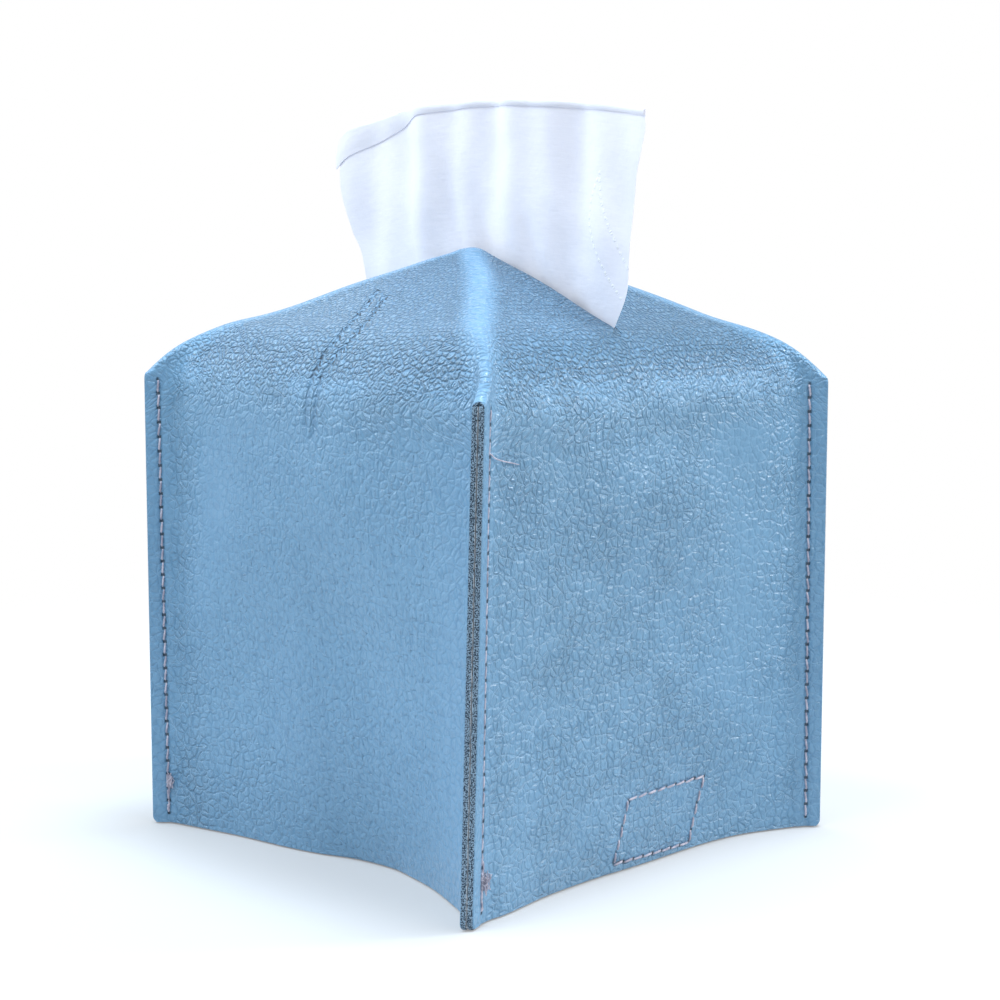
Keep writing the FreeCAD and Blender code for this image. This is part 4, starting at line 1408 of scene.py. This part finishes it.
# Studio
CAMERA_AT = (-0.35913, -0.38107, 0.14673)
CAMERA_TURN = (90.0 - 6.716, 0.0, -43.72)
CAMERA_LENS = 74.0
CAMERA_SENSOR = 36.0
FLOOR_SIZE = 2.0
FLOOR_FADE = (0.12, 0.42)
FLOOR_DROP = 0.0002
FLOOR_GLOW = 0.21
AIM = (0.0, 0.0, 0.08)
AMBIENT = 0.61
ROOM_TINT = (0.94, 0.975, 1.0)
WHITE = (1.0, 1.0, 1.0)
COOL = (0.76, 0.89, 1.0)

# Soft lights: place, size, power and colour
SOFTBOXES = {
    "front_softbox": ((0.05, -1.0, 0.45), (0.5, 0.3), 1.3, WHITE),
    "right_softbox": ((0.65, -0.43, 0.44), (0.18, 0.22), 3.5, WHITE),
    "back_softbox": ((0.3, 0.9, 0.75), (0.6, 0.5), 1.8, COOL),
    "left_softbox": ((-0.46, 0.8, 0.18), (0.3, 0.4), 0.7, COOL),
    "shoulder_softbox": ((-0.36, 0.85, 0.52), (0.26, 0.18), 3.2, COOL),
    "high_left_softbox": ((-0.5, 0.1, 0.98), (0.5, 0.5), 6.0, COOL),
    "top_softbox": ((0.1, -0.1, 1.05), (0.3, 0.3), 9.5, COOL),
}


def stand(name, data):
    """Puts a new object into the scene."""
    made = bpy.data.objects.new(name, data)
    bpy.context.scene.collection.objects.link(made)
    return made


def studio_floor():
    """Pale floor that can be looked through from below, and that ends softly."""
    g = Graph("pale_floor", "3D")
    shade = g.noise(g.place(), 3.0)
    g.set(Base_Color=g.mix(shade, (0.45, 0.45, 0.455), (0.49, 0.49, 0.495)), Roughness=0.9)
    g.set(Specular_IOR_Level=0.1, Emission_Color=(*WHITE, 1.0), Emission_Strength=FLOOR_GLOW)
    far = g.add("VectorMath", g.place(), operation="LENGTH").outputs["Value"]
    below = g.add("NewGeometry").outputs["Backfacing"]
    clear = g.math("MAXIMUM", below, g.ramp(far, *FLOOR_FADE))
    blend = g.add("MixShader", clear, g.shader.outputs[0], g.add("BsdfTransparent").outputs[0])
    g.feed(g.tree.nodes["Material Output"].inputs["Surface"], blend.outputs[0])
    half = FLOOR_SIZE / 2
    corners = [(-half, -half), (half, -half), (half, half), (-half, half)]
    mesh = bpy.data.meshes.new("floor")
    mesh.from_pydata([(x, y, -FLOOR_DROP) for x, y in corners], [], [(0, 1, 2, 3)])
    mesh.materials.append(g.material)
    stand("floor", mesh)


def softbox(name, at, size, power, colour):
    """Area light that faces the object."""
    light = bpy.data.lights.new(name, "AREA")
    light.shape = "RECTANGLE"
    light.size, light.size_y = size
    light.energy = power
    light.color = colour
    lamp = stand(name, light)
    lamp.location = at
    x, y, z = np.array(AIM) - np.array(at)
    lamp.rotation_euler = (math.atan2(math.hypot(x, y), -z), 0.0, math.atan2(y, x) - math.pi / 2)


def studio_world():
    """White backdrop for the camera, softer light for the object."""
    world = bpy.data.worlds.new("studio")
    bpy.context.scene.world = world
    world.use_nodes = True
    tree = world.node_tree
    soft = tree.nodes["Background"]
    soft.inputs["Color"].default_value = (*ROOM_TINT, 1.0)
    soft.inputs["Strength"].default_value = AMBIENT
    backdrop = tree.nodes.new("ShaderNodeBackground")
    backdrop.inputs["Color"].default_value = (*WHITE, 1.0)
    pick = tree.nodes.new("ShaderNodeMixShader")
    rays = tree.nodes.new("ShaderNodeLightPath")
    tree.links.new(rays.outputs["Is Camera Ray"], pick.inputs[0])
    tree.links.new(soft.outputs[0], pick.inputs[1])
    tree.links.new(backdrop.outputs[0], pick.inputs[2])
    tree.links.new(pick.outputs[0], tree.nodes["World Output"].inputs["Surface"])


def build_studio():
    """Floor, backdrop, lights and camera."""
    scene = bpy.context.scene
    scene.view_settings.view_transform = "Standard"
    scene.view_settings.look = "None"
    studio_floor()
    studio_world()
    for name, settings in SOFTBOXES.items():
        softbox(name, *settings)
    lens = bpy.data.cameras.new("camera")
    lens.lens = CAMERA_LENS
    lens.sensor_width = CAMERA_SENSOR
    camera = stand("camera", lens)
    camera.location = CAMERA_AT
    camera.rotation_euler = [math.radians(x) for x in CAMERA_TURN]
    scene.camera = camera


build_object()
build_studio()
bpy.context.view_layer.update()
